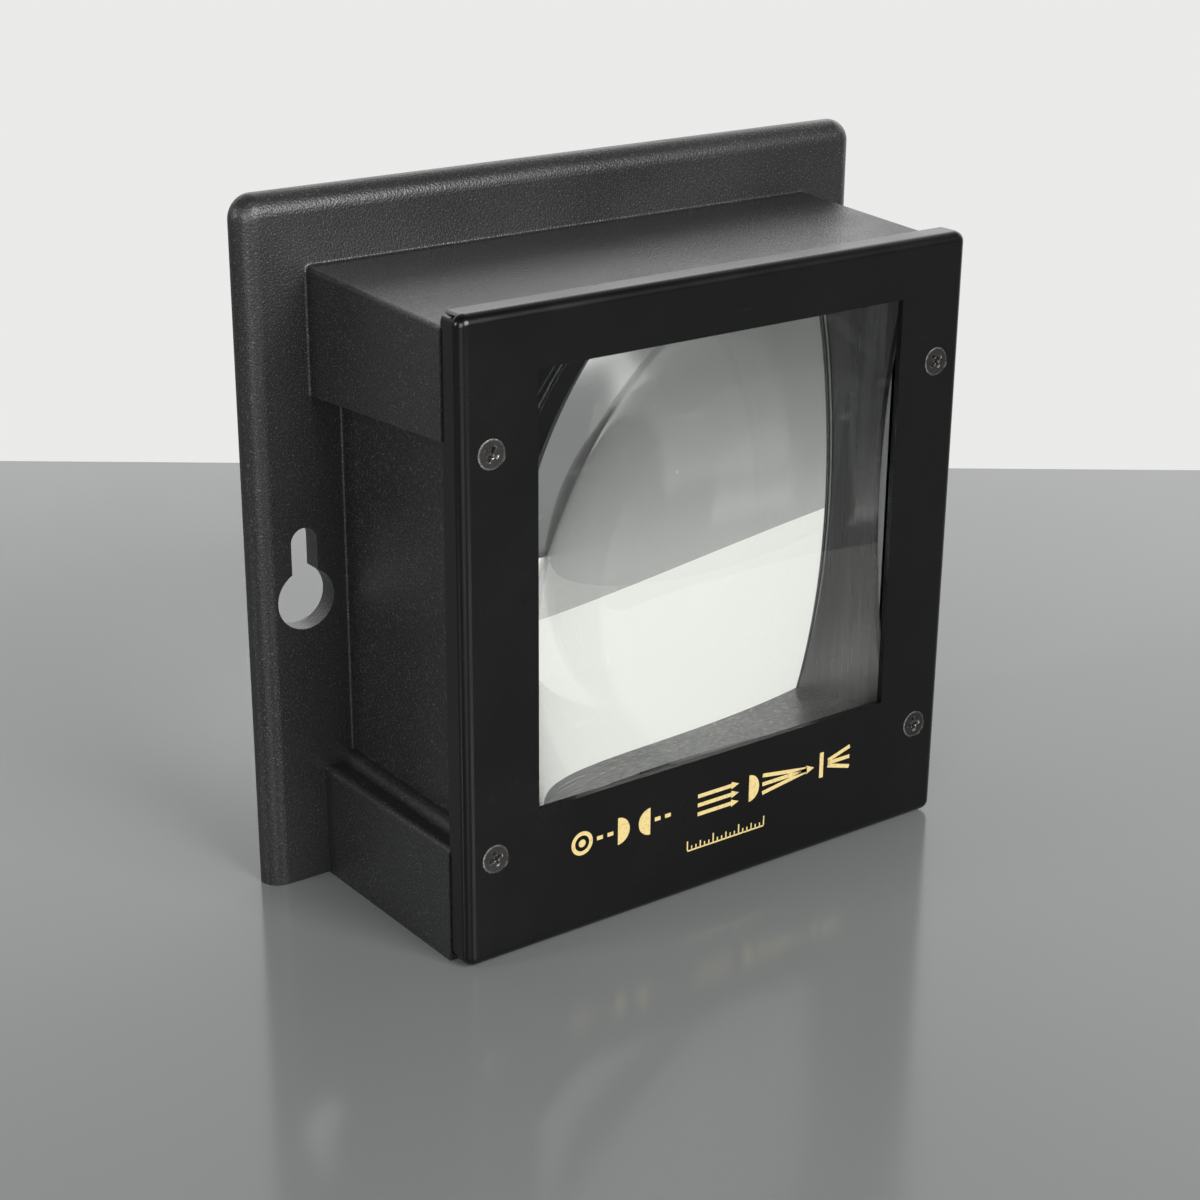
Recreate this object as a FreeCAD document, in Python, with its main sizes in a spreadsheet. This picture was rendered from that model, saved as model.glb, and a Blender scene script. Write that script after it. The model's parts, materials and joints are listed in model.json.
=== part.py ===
import FreeCAD, Part
import os

import Sketcher

# Condenser lens box of a photographic enlarger.
#
# A moulded housing with a broad rear flange holds two square-cut plano-convex lenses, flat
# faces outwards, kept apart by a spacer frame. A folded sheet plate closes the front and a
# flat sheet plate the back, each screwed into brass inserts. A keyhole slot in each side of
# the flange hangs the box on two studs.
#
# Frame: +X to the right, +Y from the front plate to the flange, +Z up. The origin is the
# centre of the underside. All sizes are in millimetres.

SIZES = {
    "box_depth": (50.0, "front face of the plate to back face of the flange"),
    "flange_width": (135.5, "overall width"),
    "flange_height": (128.0, "overall height"),
    "flange_thick": (4.0, "flange thickness"),
    "flange_corner": (4.2, "corner radius of the flange outline"),
    "flange_round": (3.7, "rounding of the front edge of the flange"),
    "plate_width": (109.0, "front plate width"),
    "plate_bottom": (0.3, "height of the plate's lower lip above the table"),
    "plate_top": (116.0, "height of the plate's upper lip"),
    "lip_depth": (5.2, "depth of the folded lips from the front face"),
    "sheet_thick": (1.2, "thickness of the front and rear sheet plates"),
    "bend_outside": (1.8, "outside bend radius of the folded lips"),
    "tray_corner": (2.0, "outside corner radius of the folded tray"),
    "slit_offset": (0.5, "half width of the corner slits, measured along a lip"),
    "slit_reach": (1.3, "how far the corner slits run in from the outer corner"),
    "slit_cover": (0.4, "metal left between the bend and each corner slit"),
    "fit_gap": (0.15, "gap between folded lips and the housing rim"),
    "body_front_width": (109.6, "width of the lens body just behind the lips"),
    "body_rear_width": (111.0, "width of the lens body at the flange"),
    "body_front_top": (113.5, "height of the lens body just behind the lips"),
    "body_rear_top": (115.2, "height of the lens body at the flange"),
    "body_round": (0.9, "rounding of the long edges of the lens body"),
    "root_round": (0.5, "fillet between lens body and flange"),
    "rim_round": (0.9, "rounding of the rim under the plate's bends"),
    "panel_half": (49.5, "half width over the recessed side panels"),
    "ledge_height": (21.7, "height of the lower block's ledge"),
    "ledge_round": (1.3, "rounding of the ledge's outer edge"),
    "bead_round": (2.2, "radius of the bead along the foot of the panel"),
    "recess_rear_top": (92.4, "upper edge of the side recess at the flange"),
    "recess_front_top": (94.5, "upper edge of the side recess at the lips"),
    "window_width": (79.0, "width of the front window"),
    "window_bottom": (27.0, "lower edge of the front window"),
    "window_top": (105.4, "upper edge of the front window"),
    "rear_window": (86.0, "side of the square window in the rear plate"),
    "rear_width": (103.0, "width of the rear plate"),
    "rear_height": (100.0, "height of the rear plate"),
    "rear_corner": (3.0, "corner radius of the rear plate"),
    "rear_gap": (0.2, "gap round the rear plate in its pocket"),
    "lens_side": (88.0, "side of the square-cut lenses"),
    "lens_middle": (22.7, "thickness of each lens at its centre"),
    "lens_radius": (100.0, "radius of the convex lens faces"),
    "lens_centre": (66.2, "height of the optical axis"),
    "lens_gap": (0.3, "gap round the lenses in the tunnel"),
    "gasket_thick": (0.8, "thickness of the felt frames"),
    "gasket_side": (86.4, "inner side of the felt frames"),
    "spacer_wall": (0.8, "wall of the spacer frame"),
    "spacer_gap": (0.1, "gap between spacer frame and lens faces"),
    "strip_length": (60.0, "length of the felt strips round each lens"),
    "strip_width": (8.0, "width of the felt strips"),
    "spring_length": (50.0, "length of the bowed leaf springs"),
    "spring_width": (6.0, "width of the leaf springs"),
    "spring_thick": (0.4, "thickness of the leaf springs"),
    "spring_radius": (216.0, "bow radius of the leaf springs"),
    "spring_seat": (1.7, "depth of the spring pocket in the tunnel roof"),
    "spring_pocket": (9.3, "length of the spring pocket along the tunnel"),
    "screw_radius": (1.5, "radius of the screw shanks"),
    "head_radius": (2.75, "radius of the countersunk heads"),
    "hole_radius": (1.6, "radius of the clearance holes"),
    "sink_depth": (1.15, "depth of the countersinks"),
    "cross_length": (3.0, "length of the cross recess"),
    "cross_width": (0.7, "width of the cross recess"),
    "cross_depth": (1.1, "depth of the cross recess"),
    "front_screw_x": (48.5, "half spacing of the front screws"),
    "front_screw_low": (20.2, "height of the lower front screws"),
    "front_screw_high": (92.7, "height of the upper front screws"),
    "front_screw_length": (4.0, "length of the front screws over the head"),
    "front_insert_length": (3.2, "length of the front inserts"),
    "rear_screw_x": (46.9, "half spacing of the rear screws"),
    "rear_screw_rise": (45.4, "rear screws above and below the optical axis"),
    "rear_screw_length": (6.0, "length of the rear screws over the head"),
    "rear_insert_length": (5.0, "length of the rear inserts"),
    "insert_radius": (2.1, "outer radius of the brass inserts"),
    "insert_bore": (1.58, "inner radius of the brass inserts"),
    "keyhole_x": (58.0, "half spacing of the keyholes"),
    "keyhole_height": (55.3, "height of the keyhole's round opening"),
    "keyhole_radius": (5.65, "radius of the keyhole's round opening"),
    "keyhole_slot": (2.6, "half width of the keyhole's slot"),
    "keyhole_rise": (10.8, "slot end centre above the round opening's centre"),
    "hollow_width": (84.0, "width of the hollow below the lenses"),
    "hollow_bottom": (3.2, "floor of the hollow below the lenses"),
    "hollow_top": (19.9, "roof of the hollow below the lenses"),
    "hollow_depth": (38.0, "depth of the hollow below the lenses"),
}

SIDES = {"Left": -1, "Right": 1}
CLOSE = 0.01


def make_sheet(doc):
    """Put every driving dimension in a spreadsheet cell with its alias."""
    sheet = doc.addObject("Spreadsheet::Sheet", "Sizes")
    for row, (alias, (value, note)) in enumerate(SIZES.items(), start=1):
        sheet.set(f"A{row}", note)
        sheet.set(f"B{row}", str(value))
        sheet.setAlias(f"B{row}", alias)
    doc.recompute()
    return sheet


def cell(expression):
    """Expression text in which every known alias is read from the spreadsheet."""
    words = []
    for word in expression.split():
        bare = word.strip("()")
        words.append(word.replace(bare, f"Sizes.{bare}") if bare in SIZES else word)
    return " ".join(words)


def bind(target, **expressions):
    """Bind properties to spreadsheet expressions; a double underscore stands for a dot."""
    for name, expression in expressions.items():
        target.setExpression(name.replace("__", "."), cell(expression))


# Sketching and PartDesign helpers

def origin_plane(body, role):
    """Origin plane of a body by its role."""
    return next(item for item in body.Origin.OriginFeatures if item.Role == role)


def new_body(doc, name, label):
    """PartDesign body with a file label."""
    body = doc.addObject("PartDesign::Body", name)
    body.Label = label
    return body


def sketch_across(body, name, along_y):
    """Sketch in a plane square to Y, at the given distance along Y."""
    sketch = body.newObject("Sketcher::SketchObject", name)
    sketch.AttachmentSupport = [(origin_plane(body, "XZ_Plane"), "")]
    sketch.MapMode = "FlatFace"
    bind(sketch, AttachmentOffset__Base__z=f"-1 * ( {along_y} )")
    return sketch


def sketch_sideways(body, name, along_x):
    """Sketch in a plane square to X, at the given distance along X."""
    sketch = body.newObject("Sketcher::SketchObject", name)
    sketch.AttachmentSupport = [(origin_plane(body, "YZ_Plane"), "")]
    sketch.MapMode = "FlatFace"
    bind(sketch, AttachmentOffset__Base__z=along_x)
    return sketch


def sketch_level(body, name):
    """Sketch in the table plane."""
    sketch = body.newObject("Sketcher::SketchObject", name)
    sketch.AttachmentSupport = [(origin_plane(body, "XY_Plane"), "")]
    sketch.MapMode = "FlatFace"
    return sketch


def pin_point(sketch, geometry, corner, across, up, tag):
    """Fix a sketch point by two expressions measured from the sketch origin."""
    for kind, expression in (("DistanceX", across), ("DistanceY", up)):
        number = sketch.addConstraint(Sketcher.Constraint(kind, -1, 1, geometry, corner, 1.0))
        name = f"{tag}_{kind}"
        sketch.renameConstraint(number, name)
        sketch.setExpression(f"Constraints.{name}", cell(expression))


def add_outline(sketch, points):
    """Closed outline of straight edges through points given as pairs of expressions."""
    doc = sketch.Document
    corners = [FreeCAD.Vector(evaluate(doc, across), evaluate(doc, up), 0) for across, up in points]
    lines = [sketch.addGeometry(Part.LineSegment(first, second), False)
             for first, second in zip(corners, corners[1:] + corners[:1])]
    for line, following in zip(lines, lines[1:] + lines[:1]):
        sketch.addConstraint(Sketcher.Constraint("Coincident", line, 2, following, 1))
    for line, (across, up) in zip(lines, points):
        pin_point(sketch, line, 1, across, up, f"corner{line}")


def add_rectangle(sketch, width, bottom, top):
    """Rectangle centred on the sketch's upright axis."""
    half = f"( {width} ) / 2"
    add_outline(sketch, [(f"-1 * {half}", bottom), (half, bottom), (half, top), (f"-1 * {half}", top)])


def add_circle(sketch, across, up, radius, tag):
    """Circle bound to its centre and radius."""
    doc = sketch.Document
    centre = FreeCAD.Vector(evaluate(doc, across), evaluate(doc, up), 0)
    shape = Part.Circle(centre, FreeCAD.Vector(0, 0, 1), evaluate(doc, radius))
    number = sketch.addGeometry(shape, False)
    pin_point(sketch, number, 3, across, up, tag)
    size = sketch.addConstraint(Sketcher.Constraint("Radius", number, 1.0))
    sketch.renameConstraint(size, f"{tag}_radius")
    sketch.setExpression(f"Constraints.{tag}_radius", cell(radius))


def evaluate(doc, expression):
    """Present value of an expression of spreadsheet aliases."""
    return float(doc.getObject("Sizes").evalExpression(expression))


def extrude(body, kind, sketch, name, **settings):
    """Pad or pocket of a sketch with its settings and expressions."""
    feature = body.newObject(f"PartDesign::{kind}", name)
    feature.Profile = sketch
    length = settings.pop("length", None)
    for key, value in settings.items():
        setattr(feature, key, value)
    if length:
        bind(feature, Length=length)
    body.Document.recompute()
    return feature


def dress(body, kind, name, base, chosen, **expressions):
    """Fillet or chamfer of the edges of a feature that pass a test."""
    edges = [f"Edge{i}" for i, edge in enumerate(base.Shape.Edges, start=1) if chosen(edge)]
    if not edges:
        raise RuntimeError(f"no edge found for {name}")
    feature = body.newObject(f"PartDesign::{kind}", name)
    feature.Base = (base, edges)
    bind(feature, **expressions)
    body.Document.recompute()
    return feature


def runs_along(edge, axis):
    """True for a straight edge that runs mostly along one axis."""
    if edge.Curve.TypeId != "Part::GeomLine":
        return False
    return abs(getattr(edge.Curve.Direction, axis)) > 0.99


def lies_at(edge, axis, value):
    """True for an edge that lies in a plane square to an axis."""
    box = edge.BoundBox
    low = getattr(box, f"{axis.upper()}Min")
    high = getattr(box, f"{axis.upper()}Max")
    return abs(low - value) < CLOSE and abs(high - value) < CLOSE


# Moulded housing

def make_housing(doc):
    """Lens body, rim and flange in one moulding."""
    body = new_body(doc, "Housing", "housing")
    flange_front = "box_depth / 2 - flange_thick"
    lip_back = "lip_depth - box_depth / 2"
    rim_front = "sheet_thick - box_depth / 2"

    outline = sketch_across(body, "FlangeOutline", flange_front)
    add_rectangle(outline, "flange_width", "0", "flange_height")
    flange = extrude(body, "Pad", outline, "Flange", length="flange_thick", Reversed=True)
    top = evaluate(doc, "flange_height")
    corners = dress(body, "Fillet", "FlangeCorners", flange,
                    lambda edge: runs_along(edge, "y") and lies_at(edge, "z", top),
                    Radius="flange_corner")
    front = evaluate(doc, flange_front)
    dress(body, "Fillet", "FlangeRounding", corners,
          lambda edge: lies_at(edge, "y", front) and not lies_at(edge, "z", 0),
          Radius="flange_round")

    profile = sketch_sideways(body, "BodyProfile", "0")
    add_outline(profile, [(lip_back, "0"), (flange_front, "0"),
                          (flange_front, "body_rear_top"), (lip_back, "body_front_top")])
    extrude(body, "Pad", profile, "LensBody", length="body_rear_width", Midplane=True)
    for side, sign in SIDES.items():
        shell = taper_side(body, side, sign, lip_back, flange_front)

    reach = evaluate(doc, "body_front_width") / 2
    dress(body, "Fillet", "BodyRounding", shell,
          lambda edge: long_body_edge(edge, reach, front), Radius="body_round")

    rim = sketch_across(body, "RimOutline", lip_back)
    add_rectangle(rim, "plate_width - 2 * sheet_thick - 2 * fit_gap",
                  "plate_bottom + sheet_thick + fit_gap", "plate_top - sheet_thick - fit_gap")
    raised = extrude(body, "Pad", rim, "Rim", length="lip_depth - sheet_thick")
    nose = evaluate(doc, rim_front)
    dress(body, "Fillet", "RimRounding", raised, lambda edge: lies_at(edge, "y", nose),
          Radius="rim_round")

    for side, sign in SIDES.items():
        last = cut_side_recess(body, side, sign, lip_back, flange_front)

    ledge = evaluate(doc, "ledge_height")
    last = dress(body, "Fillet", "LedgeRounding", last,
                 lambda edge: lies_at(edge, "z", ledge) and outer_edge(edge, reach),
                 Radius="ledge_round")

    recess_top = evaluate(doc, "recess_rear_top")
    last = dress(body, "Fillet", "UpperRoots", last,
                 lambda edge: lies_at(edge, "y", front) and on_upper_outline(edge, reach, recess_top),
                 Radius="root_round")
    panel = evaluate(doc, "panel_half")
    dress(body, "Fillet", "PanelRoots", last,
          lambda edge: runs_along(edge, "z") and lies_at(edge, "y", front) and on_panel(edge, panel),
          Radius="root_round")

    cut_tunnel(body)
    cut_rear_pocket(body)
    hollow = sketch_across(body, "HollowOutline", rim_front)
    add_rectangle(hollow, "hollow_width", "hollow_bottom", "hollow_top")
    extrude(body, "Pocket", hollow, "Hollow", length="hollow_depth")
    cut_insert_seats(body, rim_front)
    cut_keyholes(body)
    return body


def taper_side(body, side, sign, lip_back, flange_front):
    """Slight taper of one side of the lens body, narrowing towards the front."""
    wedge = sketch_level(body, f"{side}TaperOutline")
    rear = f"{sign} * body_rear_width / 2"
    fore = f"{sign} * body_front_width / 2"
    add_outline(wedge, [(fore, lip_back), (rear, lip_back), (rear, flange_front)])
    return extrude(body, "Pocket", wedge, f"{side}Taper", Type=1, Midplane=True)


def long_body_edge(edge, reach, front):
    """True for the two upper edges of the lens body that run from lips to flange."""
    box = edge.BoundBox
    runs_back = abs(box.YMax - front) < CLOSE and box.YLength > 20
    return runs_back and box.ZMin > 50 and abs(box.XMin) > reach - 1 and box.XLength < 2


def outer_edge(edge, reach):
    """True for an edge near the side face of the lens body."""
    return min(abs(edge.BoundBox.XMin), abs(edge.BoundBox.XMax)) > reach - 1


def on_upper_outline(edge, reach, recess_top):
    """True for an edge of the lens body's outline above the underside of the upper blocks."""
    box = edge.BoundBox
    is_outline = max(abs(box.XMin), abs(box.XMax)) < reach + 2
    return is_outline and box.ZMin > recess_top - CLOSE and box.ZMax > recess_top + CLOSE


def on_panel(edge, panel):
    """True for an edge in the plane of a recessed side panel."""
    return abs(abs(edge.BoundBox.XMin) - panel) < CLOSE


def cut_side_recess(body, side, sign, lip_back, flange_front):
    """Recess in one side of the lens body, with the rounded bead along its foot."""
    panel = sketch_sideways(body, f"{side}RecessOutline", f"{sign} * panel_half")
    add_outline(panel, [(lip_back, "ledge_height"), (flange_front, "ledge_height"),
                        (flange_front, "recess_rear_top"), (lip_back, "recess_front_top")])
    extrude(body, "Pocket", panel, f"{side}Recess", Type=1, Reversed=sign > 0)

    bead = sketch_across(body, f"{side}BeadOutline", lip_back)
    doc = body.Document
    foot = FreeCAD.Vector(sign * evaluate(doc, "panel_half"), evaluate(doc, "ledge_height"), 0)
    radius = evaluate(doc, "bead_round")
    outward = foot + FreeCAD.Vector(sign * radius, 0, 0)
    upward = foot + FreeCAD.Vector(0, radius, 0)
    middle = foot + FreeCAD.Vector(sign, 1, 0).normalize() * radius
    bead.addGeometry(Part.LineSegment(foot, outward), False)
    bead.addGeometry(Part.Arc(outward, middle, upward), False)
    bead.addGeometry(Part.LineSegment(upward, foot), False)
    arc_ends = {1: (1, 2), -1: (2, 1)}[sign]
    bead.addConstraint(Sketcher.Constraint("Coincident", 0, 2, 1, arc_ends[0]))
    bead.addConstraint(Sketcher.Constraint("Coincident", 1, arc_ends[1], 2, 1))
    bead.addConstraint(Sketcher.Constraint("Coincident", 2, 2, 0, 1))
    bead.addConstraint(Sketcher.Constraint("Coincident", 1, 3, 0, 1))
    pin_point(bead, 0, 1, f"{sign} * panel_half", "ledge_height", "foot")
    bead.addConstraint(Sketcher.Constraint("Horizontal", 0))
    bead.addConstraint(Sketcher.Constraint("Vertical", 2))
    size = bead.addConstraint(Sketcher.Constraint("Radius", 1, radius))
    bead.renameConstraint(size, "bead_radius")
    bind(bead, Constraints__bead_radius="bead_round")
    return extrude(body, "Pad", bead, f"{side}Bead", Reversed=True,
                   length="box_depth - flange_thick - lip_depth")


def cut_tunnel(body):
    """Square tunnel for the lenses, with a spring pocket in its roof behind each face."""
    outline = sketch_across(body, "TunnelOutline", "0")
    half = "( lens_side / 2 + lens_gap )"
    add_rectangle(outline, f"2 * {half}", f"lens_centre - {half}", f"lens_centre + {half}")
    extrude(body, "Pocket", outline, "Tunnel", Type=1, Midplane=True)
    roof = f"lens_centre + {half}"
    reach = "box_depth / 2 - sheet_thick"
    for name, along_y, back in (("FrontSpring", f"-1 * ( {reach} )", False),
                                ("RearSpring", reach, True)):
        pocket = sketch_across(body, f"{name}Outline", along_y)
        add_rectangle(pocket, "spring_length + 2", f"{roof} - 0.5", f"{roof} + spring_seat")
        extrude(body, "Pocket", pocket, f"{name}Pocket", length="spring_pocket", Reversed=back)


def cut_rear_pocket(body):
    """Shallow pocket that lets the rear plate lie flush with the flange."""
    outline = sketch_across(body, "RearPocketOutline", "box_depth / 2")
    half = "( rear_height / 2 + rear_gap )"
    add_rectangle(outline, "rear_width + 2 * rear_gap",
                  f"lens_centre - {half}", f"lens_centre + {half}")
    extrude(body, "Pocket", outline, "RearPocket", Reversed=True, length="sheet_thick")


def screw_places(end):
    """Expressions for the four screw axes of the front or rear plate."""
    if end == "front":
        heights = ("front_screw_low", "front_screw_high")
    else:
        heights = ("lens_centre - rear_screw_rise", "lens_centre + rear_screw_rise")
    return [(f"{sign} * {end}_screw_x", height) for sign in (-1, 1) for height in heights]


def cut_insert_seats(body, rim_front):
    """Round seats for the brass inserts of both plates."""
    for end, along_y, back in (("front", rim_front, False),
                               ("rear", "box_depth / 2 - sheet_thick", True)):
        sketch = sketch_across(body, f"{end.title()}SeatOutline", along_y)
        for number, (across, up) in enumerate(screw_places(end), start=1):
            add_circle(sketch, across, up, "insert_radius", f"seat{number}")
        extrude(body, "Pocket", sketch, f"{end.title()}Seats", Reversed=back,
                length=f"{end}_insert_length + 0.2")


def cut_keyholes(body):
    """Round opening and upright slot through each side of the flange."""
    back = "box_depth / 2"
    for side, sign in SIDES.items():
        centre = f"{sign} * keyhole_x"
        hole = sketch_across(body, f"{side}KeyholeRound", back)
        add_circle(hole, centre, "keyhole_height", "keyhole_radius", "round")
        extrude(body, "Pocket", hole, f"{side}KeyholeOpening", Reversed=True,
                length="flange_thick + 1")
        slot = sketch_across(body, f"{side}KeyholeSlot", back)
        end = "keyhole_height + keyhole_rise"
        add_outline(slot, [(f"{centre} - keyhole_slot", "keyhole_height"),
                           (f"{centre} + keyhole_slot", "keyhole_height"),
                           (f"{centre} + keyhole_slot", end),
                           (f"{centre} - keyhole_slot", end)])
        extrude(body, "Pocket", slot, f"{side}KeyholeNeck", Reversed=True,
                length="flange_thick + 1")
        crown = sketch_across(body, f"{side}KeyholeCrown", back)
        add_circle(crown, centre, end, "keyhole_slot", "crown")
        extrude(body, "Pocket", crown, f"{side}KeyholeEnd", Reversed=True,
                length="flange_thick + 1")


# Sheet plates

def add_screw_holes(body, end, face, inward):
    """Four countersunk holes, sunk from the outer face of a sheet plate."""
    sketch = sketch_across(body, "ScrewHoleOutline", face)
    for number, (across, up) in enumerate(screw_places(end), start=1):
        add_circle(sketch, across, up, "hole_radius", f"hole{number}")
    holes = extrude(body, "Pocket", sketch, "ScrewHoles", Reversed=inward, length="sheet_thick + 1")
    radius = evaluate(body.Document, "hole_radius")
    outer = evaluate(body.Document, face)
    return dress(body, "Chamfer", "Countersinks", holes,
                 lambda edge: (lies_at(edge, "y", outer) and edge.Curve.TypeId == "Part::GeomCircle"
                               and abs(edge.Curve.Radius - radius) < CLOSE),
                 Size="sink_depth")


def make_front_plate(doc):
    """Folded tray with four lips, corner slits, window and countersunk holes."""
    body = new_body(doc, "FrontPlate", "front_plate")
    face = "-1 * box_depth / 2"
    outline = sketch_across(body, "TrayOutline", face)
    add_rectangle(outline, "plate_width", "plate_bottom", "plate_top")
    tray = extrude(body, "Pad", outline, "Tray", length="lip_depth", Reversed=True)
    rounded = dress(body, "Fillet", "Corners", tray, lambda edge: runs_along(edge, "y"),
                    Radius="tray_corner")
    front = evaluate(doc, face)
    dress(body, "Fillet", "OuterBends", rounded, lambda edge: lies_at(edge, "y", front),
          Radius="bend_outside")
    inside = sketch_across(body, "InsideOutline", "lip_depth - box_depth / 2")
    add_rectangle(inside, "plate_width - 2 * sheet_thick", "plate_bottom + sheet_thick",
                  "plate_top - sheet_thick")
    hollow = extrude(body, "Pocket", inside, "Inside", length="lip_depth - sheet_thick",
                     Reversed=True)
    floor = evaluate(doc, "sheet_thick - box_depth / 2")
    dress(body, "Fillet", "InnerBends", hollow,
          lambda edge: lies_at(edge, "y", floor), Radius="bend_outside - sheet_thick")
    far = "( slit_reach + slit_offset )"
    steps = [("0", "0"), ("slit_offset", "0"), (far, "slit_reach"), ("slit_reach", far),
             ("0", "slit_offset")]
    for side, sign in SIDES.items():
        for level, height, up in (("Lower", "plate_bottom", 1), ("Upper", "plate_top", -1)):
            slit = sketch_across(body, f"{level}{side}SlitOutline", "lip_depth - box_depth / 2")
            add_outline(slit, [(f"{sign} * ( plate_width / 2 - {inward} )",
                                f"{height} + {up} * {along}") for inward, along in steps])
            extrude(body, "Pocket", slit, f"{level}{side}Slit", Reversed=True,
                    length="lip_depth - bend_outside - slit_cover")
    window = sketch_across(body, "WindowOutline", face)
    add_rectangle(window, "window_width", "window_bottom", "window_top")
    extrude(body, "Pocket", window, "Window", Reversed=False, length="sheet_thick + 1")
    add_screw_holes(body, "front", face, False)
    return body


def make_rear_plate(doc):
    """Flat plate with a square window, let into the back of the flange."""
    body = new_body(doc, "RearPlate", "rear_plate")
    face = "box_depth / 2"
    outline = sketch_across(body, "PlateOutline", face)
    add_rectangle(outline, "rear_width", "lens_centre - rear_height / 2",
                  "lens_centre + rear_height / 2")
    blank = extrude(body, "Pad", outline, "Blank", length="sheet_thick")
    dress(body, "Fillet", "Corners", blank, lambda edge: runs_along(edge, "y"),
          Radius="rear_corner")
    window = sketch_across(body, "WindowOutline", face)
    add_rectangle(window, "rear_window", "lens_centre - rear_window / 2",
                  "lens_centre + rear_window / 2")
    extrude(body, "Pocket", window, "Window", Reversed=True, length="sheet_thick + 1")
    add_screw_holes(body, "rear", face, True)
    return body


def make_gasket(doc, name, label, outer_face):
    """Felt frame between a sheet plate and the flat face of a lens."""
    body = new_body(doc, name, label)
    outline = sketch_across(body, "FrameOutline", outer_face)
    for side in ("lens_side", "gasket_side"):
        add_rectangle(outline, side, f"lens_centre - {side} / 2", f"lens_centre + {side} / 2")
    extrude(body, "Pad", outline, "Frame", length="gasket_thick")
    return body


# Glass, spacer and springs

def make_box(doc, name, width, depth, height, centre_y, bottom):
    """Box centred on X, with its middle along Y and its underside given."""
    box = doc.addObject("Part::Box", name)
    bind(box, Length=width, Width=depth, Height=height, Placement__Base__x=f"-1 * ( {width} ) / 2",
         Placement__Base__y=f"{centre_y} - ( {depth} ) / 2", Placement__Base__z=bottom)
    return box


def make_ball(doc, name, radius, centre_y):
    """Sphere centred on the optical axis."""
    ball = doc.addObject("Part::Sphere", name)
    bind(ball, Radius=radius, Placement__Base__y=centre_y, Placement__Base__z="lens_centre")
    return ball


def join(doc, kind, name, base, tool):
    """Boolean of two objects: Cut, Common or Fuse."""
    result = doc.addObject(f"Part::{kind}", name)
    result.Base = base
    result.Tool = tool
    return result


def ball_centre(sign):
    """Expression for the centre of a convex face; the front lens has sign -1."""
    gap = "( box_depth / 2 - sheet_thick - gasket_thick - lens_middle )"
    return f"{sign} * ( {gap} + lens_radius )"


def make_lens(doc, name, label, sign):
    """Square-cut plano-convex lens with its flat face outwards."""
    middle = f"{sign} * ( box_depth / 2 - sheet_thick - gasket_thick - lens_middle / 2 )"
    block = make_box(doc, f"{name}Block", "lens_side", "lens_middle", "lens_side", middle,
                     "lens_centre - lens_side / 2")
    ball = make_ball(doc, f"{name}Ball", "lens_radius", ball_centre(sign))
    lens = join(doc, "Common", name, block, ball)
    lens.Label = label
    return lens


def make_spacer(doc):
    """Square frame between the lenses, hollowed at both ends to follow the convex faces."""
    depth = "box_depth - 2 * sheet_thick - 2 * gasket_thick"
    outer = make_box(doc, "SpacerOuter", "lens_side", depth, "lens_side", "0",
                     "lens_centre - lens_side / 2")
    inner = make_box(doc, "SpacerInner", "lens_side - 2 * spacer_wall", f"{depth} + 2",
                     "lens_side - 2 * spacer_wall", "0",
                     "lens_centre - lens_side / 2 + spacer_wall")
    spacer = join(doc, "Cut", "SpacerTube", outer, inner)
    for name, sign in (("Front", -1), ("Rear", 1)):
        ball = make_ball(doc, f"Spacer{name}Ball", "lens_radius + spacer_gap", ball_centre(sign))
        spacer = join(doc, "Cut", f"Spacer{name}", spacer, ball)
    spacer.Label = "lens_spacer"
    return spacer


def make_spring(doc, name, label, sign):
    """Bowed leaf spring that presses a lens down from the tunnel roof."""
    lens_top = "lens_centre + lens_side / 2"
    middle = f"{sign} * ( box_depth / 2 - sheet_thick - gasket_thick - 2 - spring_width / 2 )"
    rings = []
    for part, radius in (("Outer", "spring_radius"), ("Inner", "spring_radius - spring_thick")):
        ring = doc.addObject("Part::Cylinder", f"{name}{part}")
        ring.Placement.Rotation = FreeCAD.Rotation(FreeCAD.Vector(1, 0, 0), 90)
        bind(ring, Radius=radius, Height="spring_width",
             Placement__Base__y=f"{middle} + spring_width / 2",
             Placement__Base__z=f"{lens_top} + 0.05 + spring_radius")
        rings.append(ring)
    ring = join(doc, "Cut", f"{name}Ring", *rings)
    window = make_box(doc, f"{name}Window", "spring_length", "spring_width + 1", "spring_seat + 1",
                      middle, f"{lens_top} - 0.5")
    spring = join(doc, "Common", name, ring, window)
    spring.Label = label
    return spring


def make_strips(doc, name, label, sign):
    """Felt strips under a lens and at both its sides, filling the gap to the tunnel."""
    middle = (f"{sign} * ( box_depth / 2 - sheet_thick - gasket_thick - 1 - strip_width / 2 )")
    half = "lens_side / 2"
    places = {
        "Floor": ("strip_length", "lens_gap", "-1 * strip_length / 2",
                  f"lens_centre - {half} - lens_gap"),
        "Left": ("lens_gap", "strip_length", f"-1 * ( {half} + lens_gap )",
                 "lens_centre - strip_length / 2"),
        "Right": ("lens_gap", "strip_length", half, "lens_centre - strip_length / 2"),
    }
    strips = []
    for place, (width, height, left, bottom) in places.items():
        strip = doc.addObject("Part::Box", f"{name}{place}")
        bind(strip, Length=width, Width="strip_width", Height=height, Placement__Base__x=left,
             Placement__Base__y=f"{middle} - strip_width / 2", Placement__Base__z=bottom)
        strips.append(strip)
    group = doc.addObject("Part::Compound", name)
    group.Links = strips
    group.Label = label
    return group


# Fasteners

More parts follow.
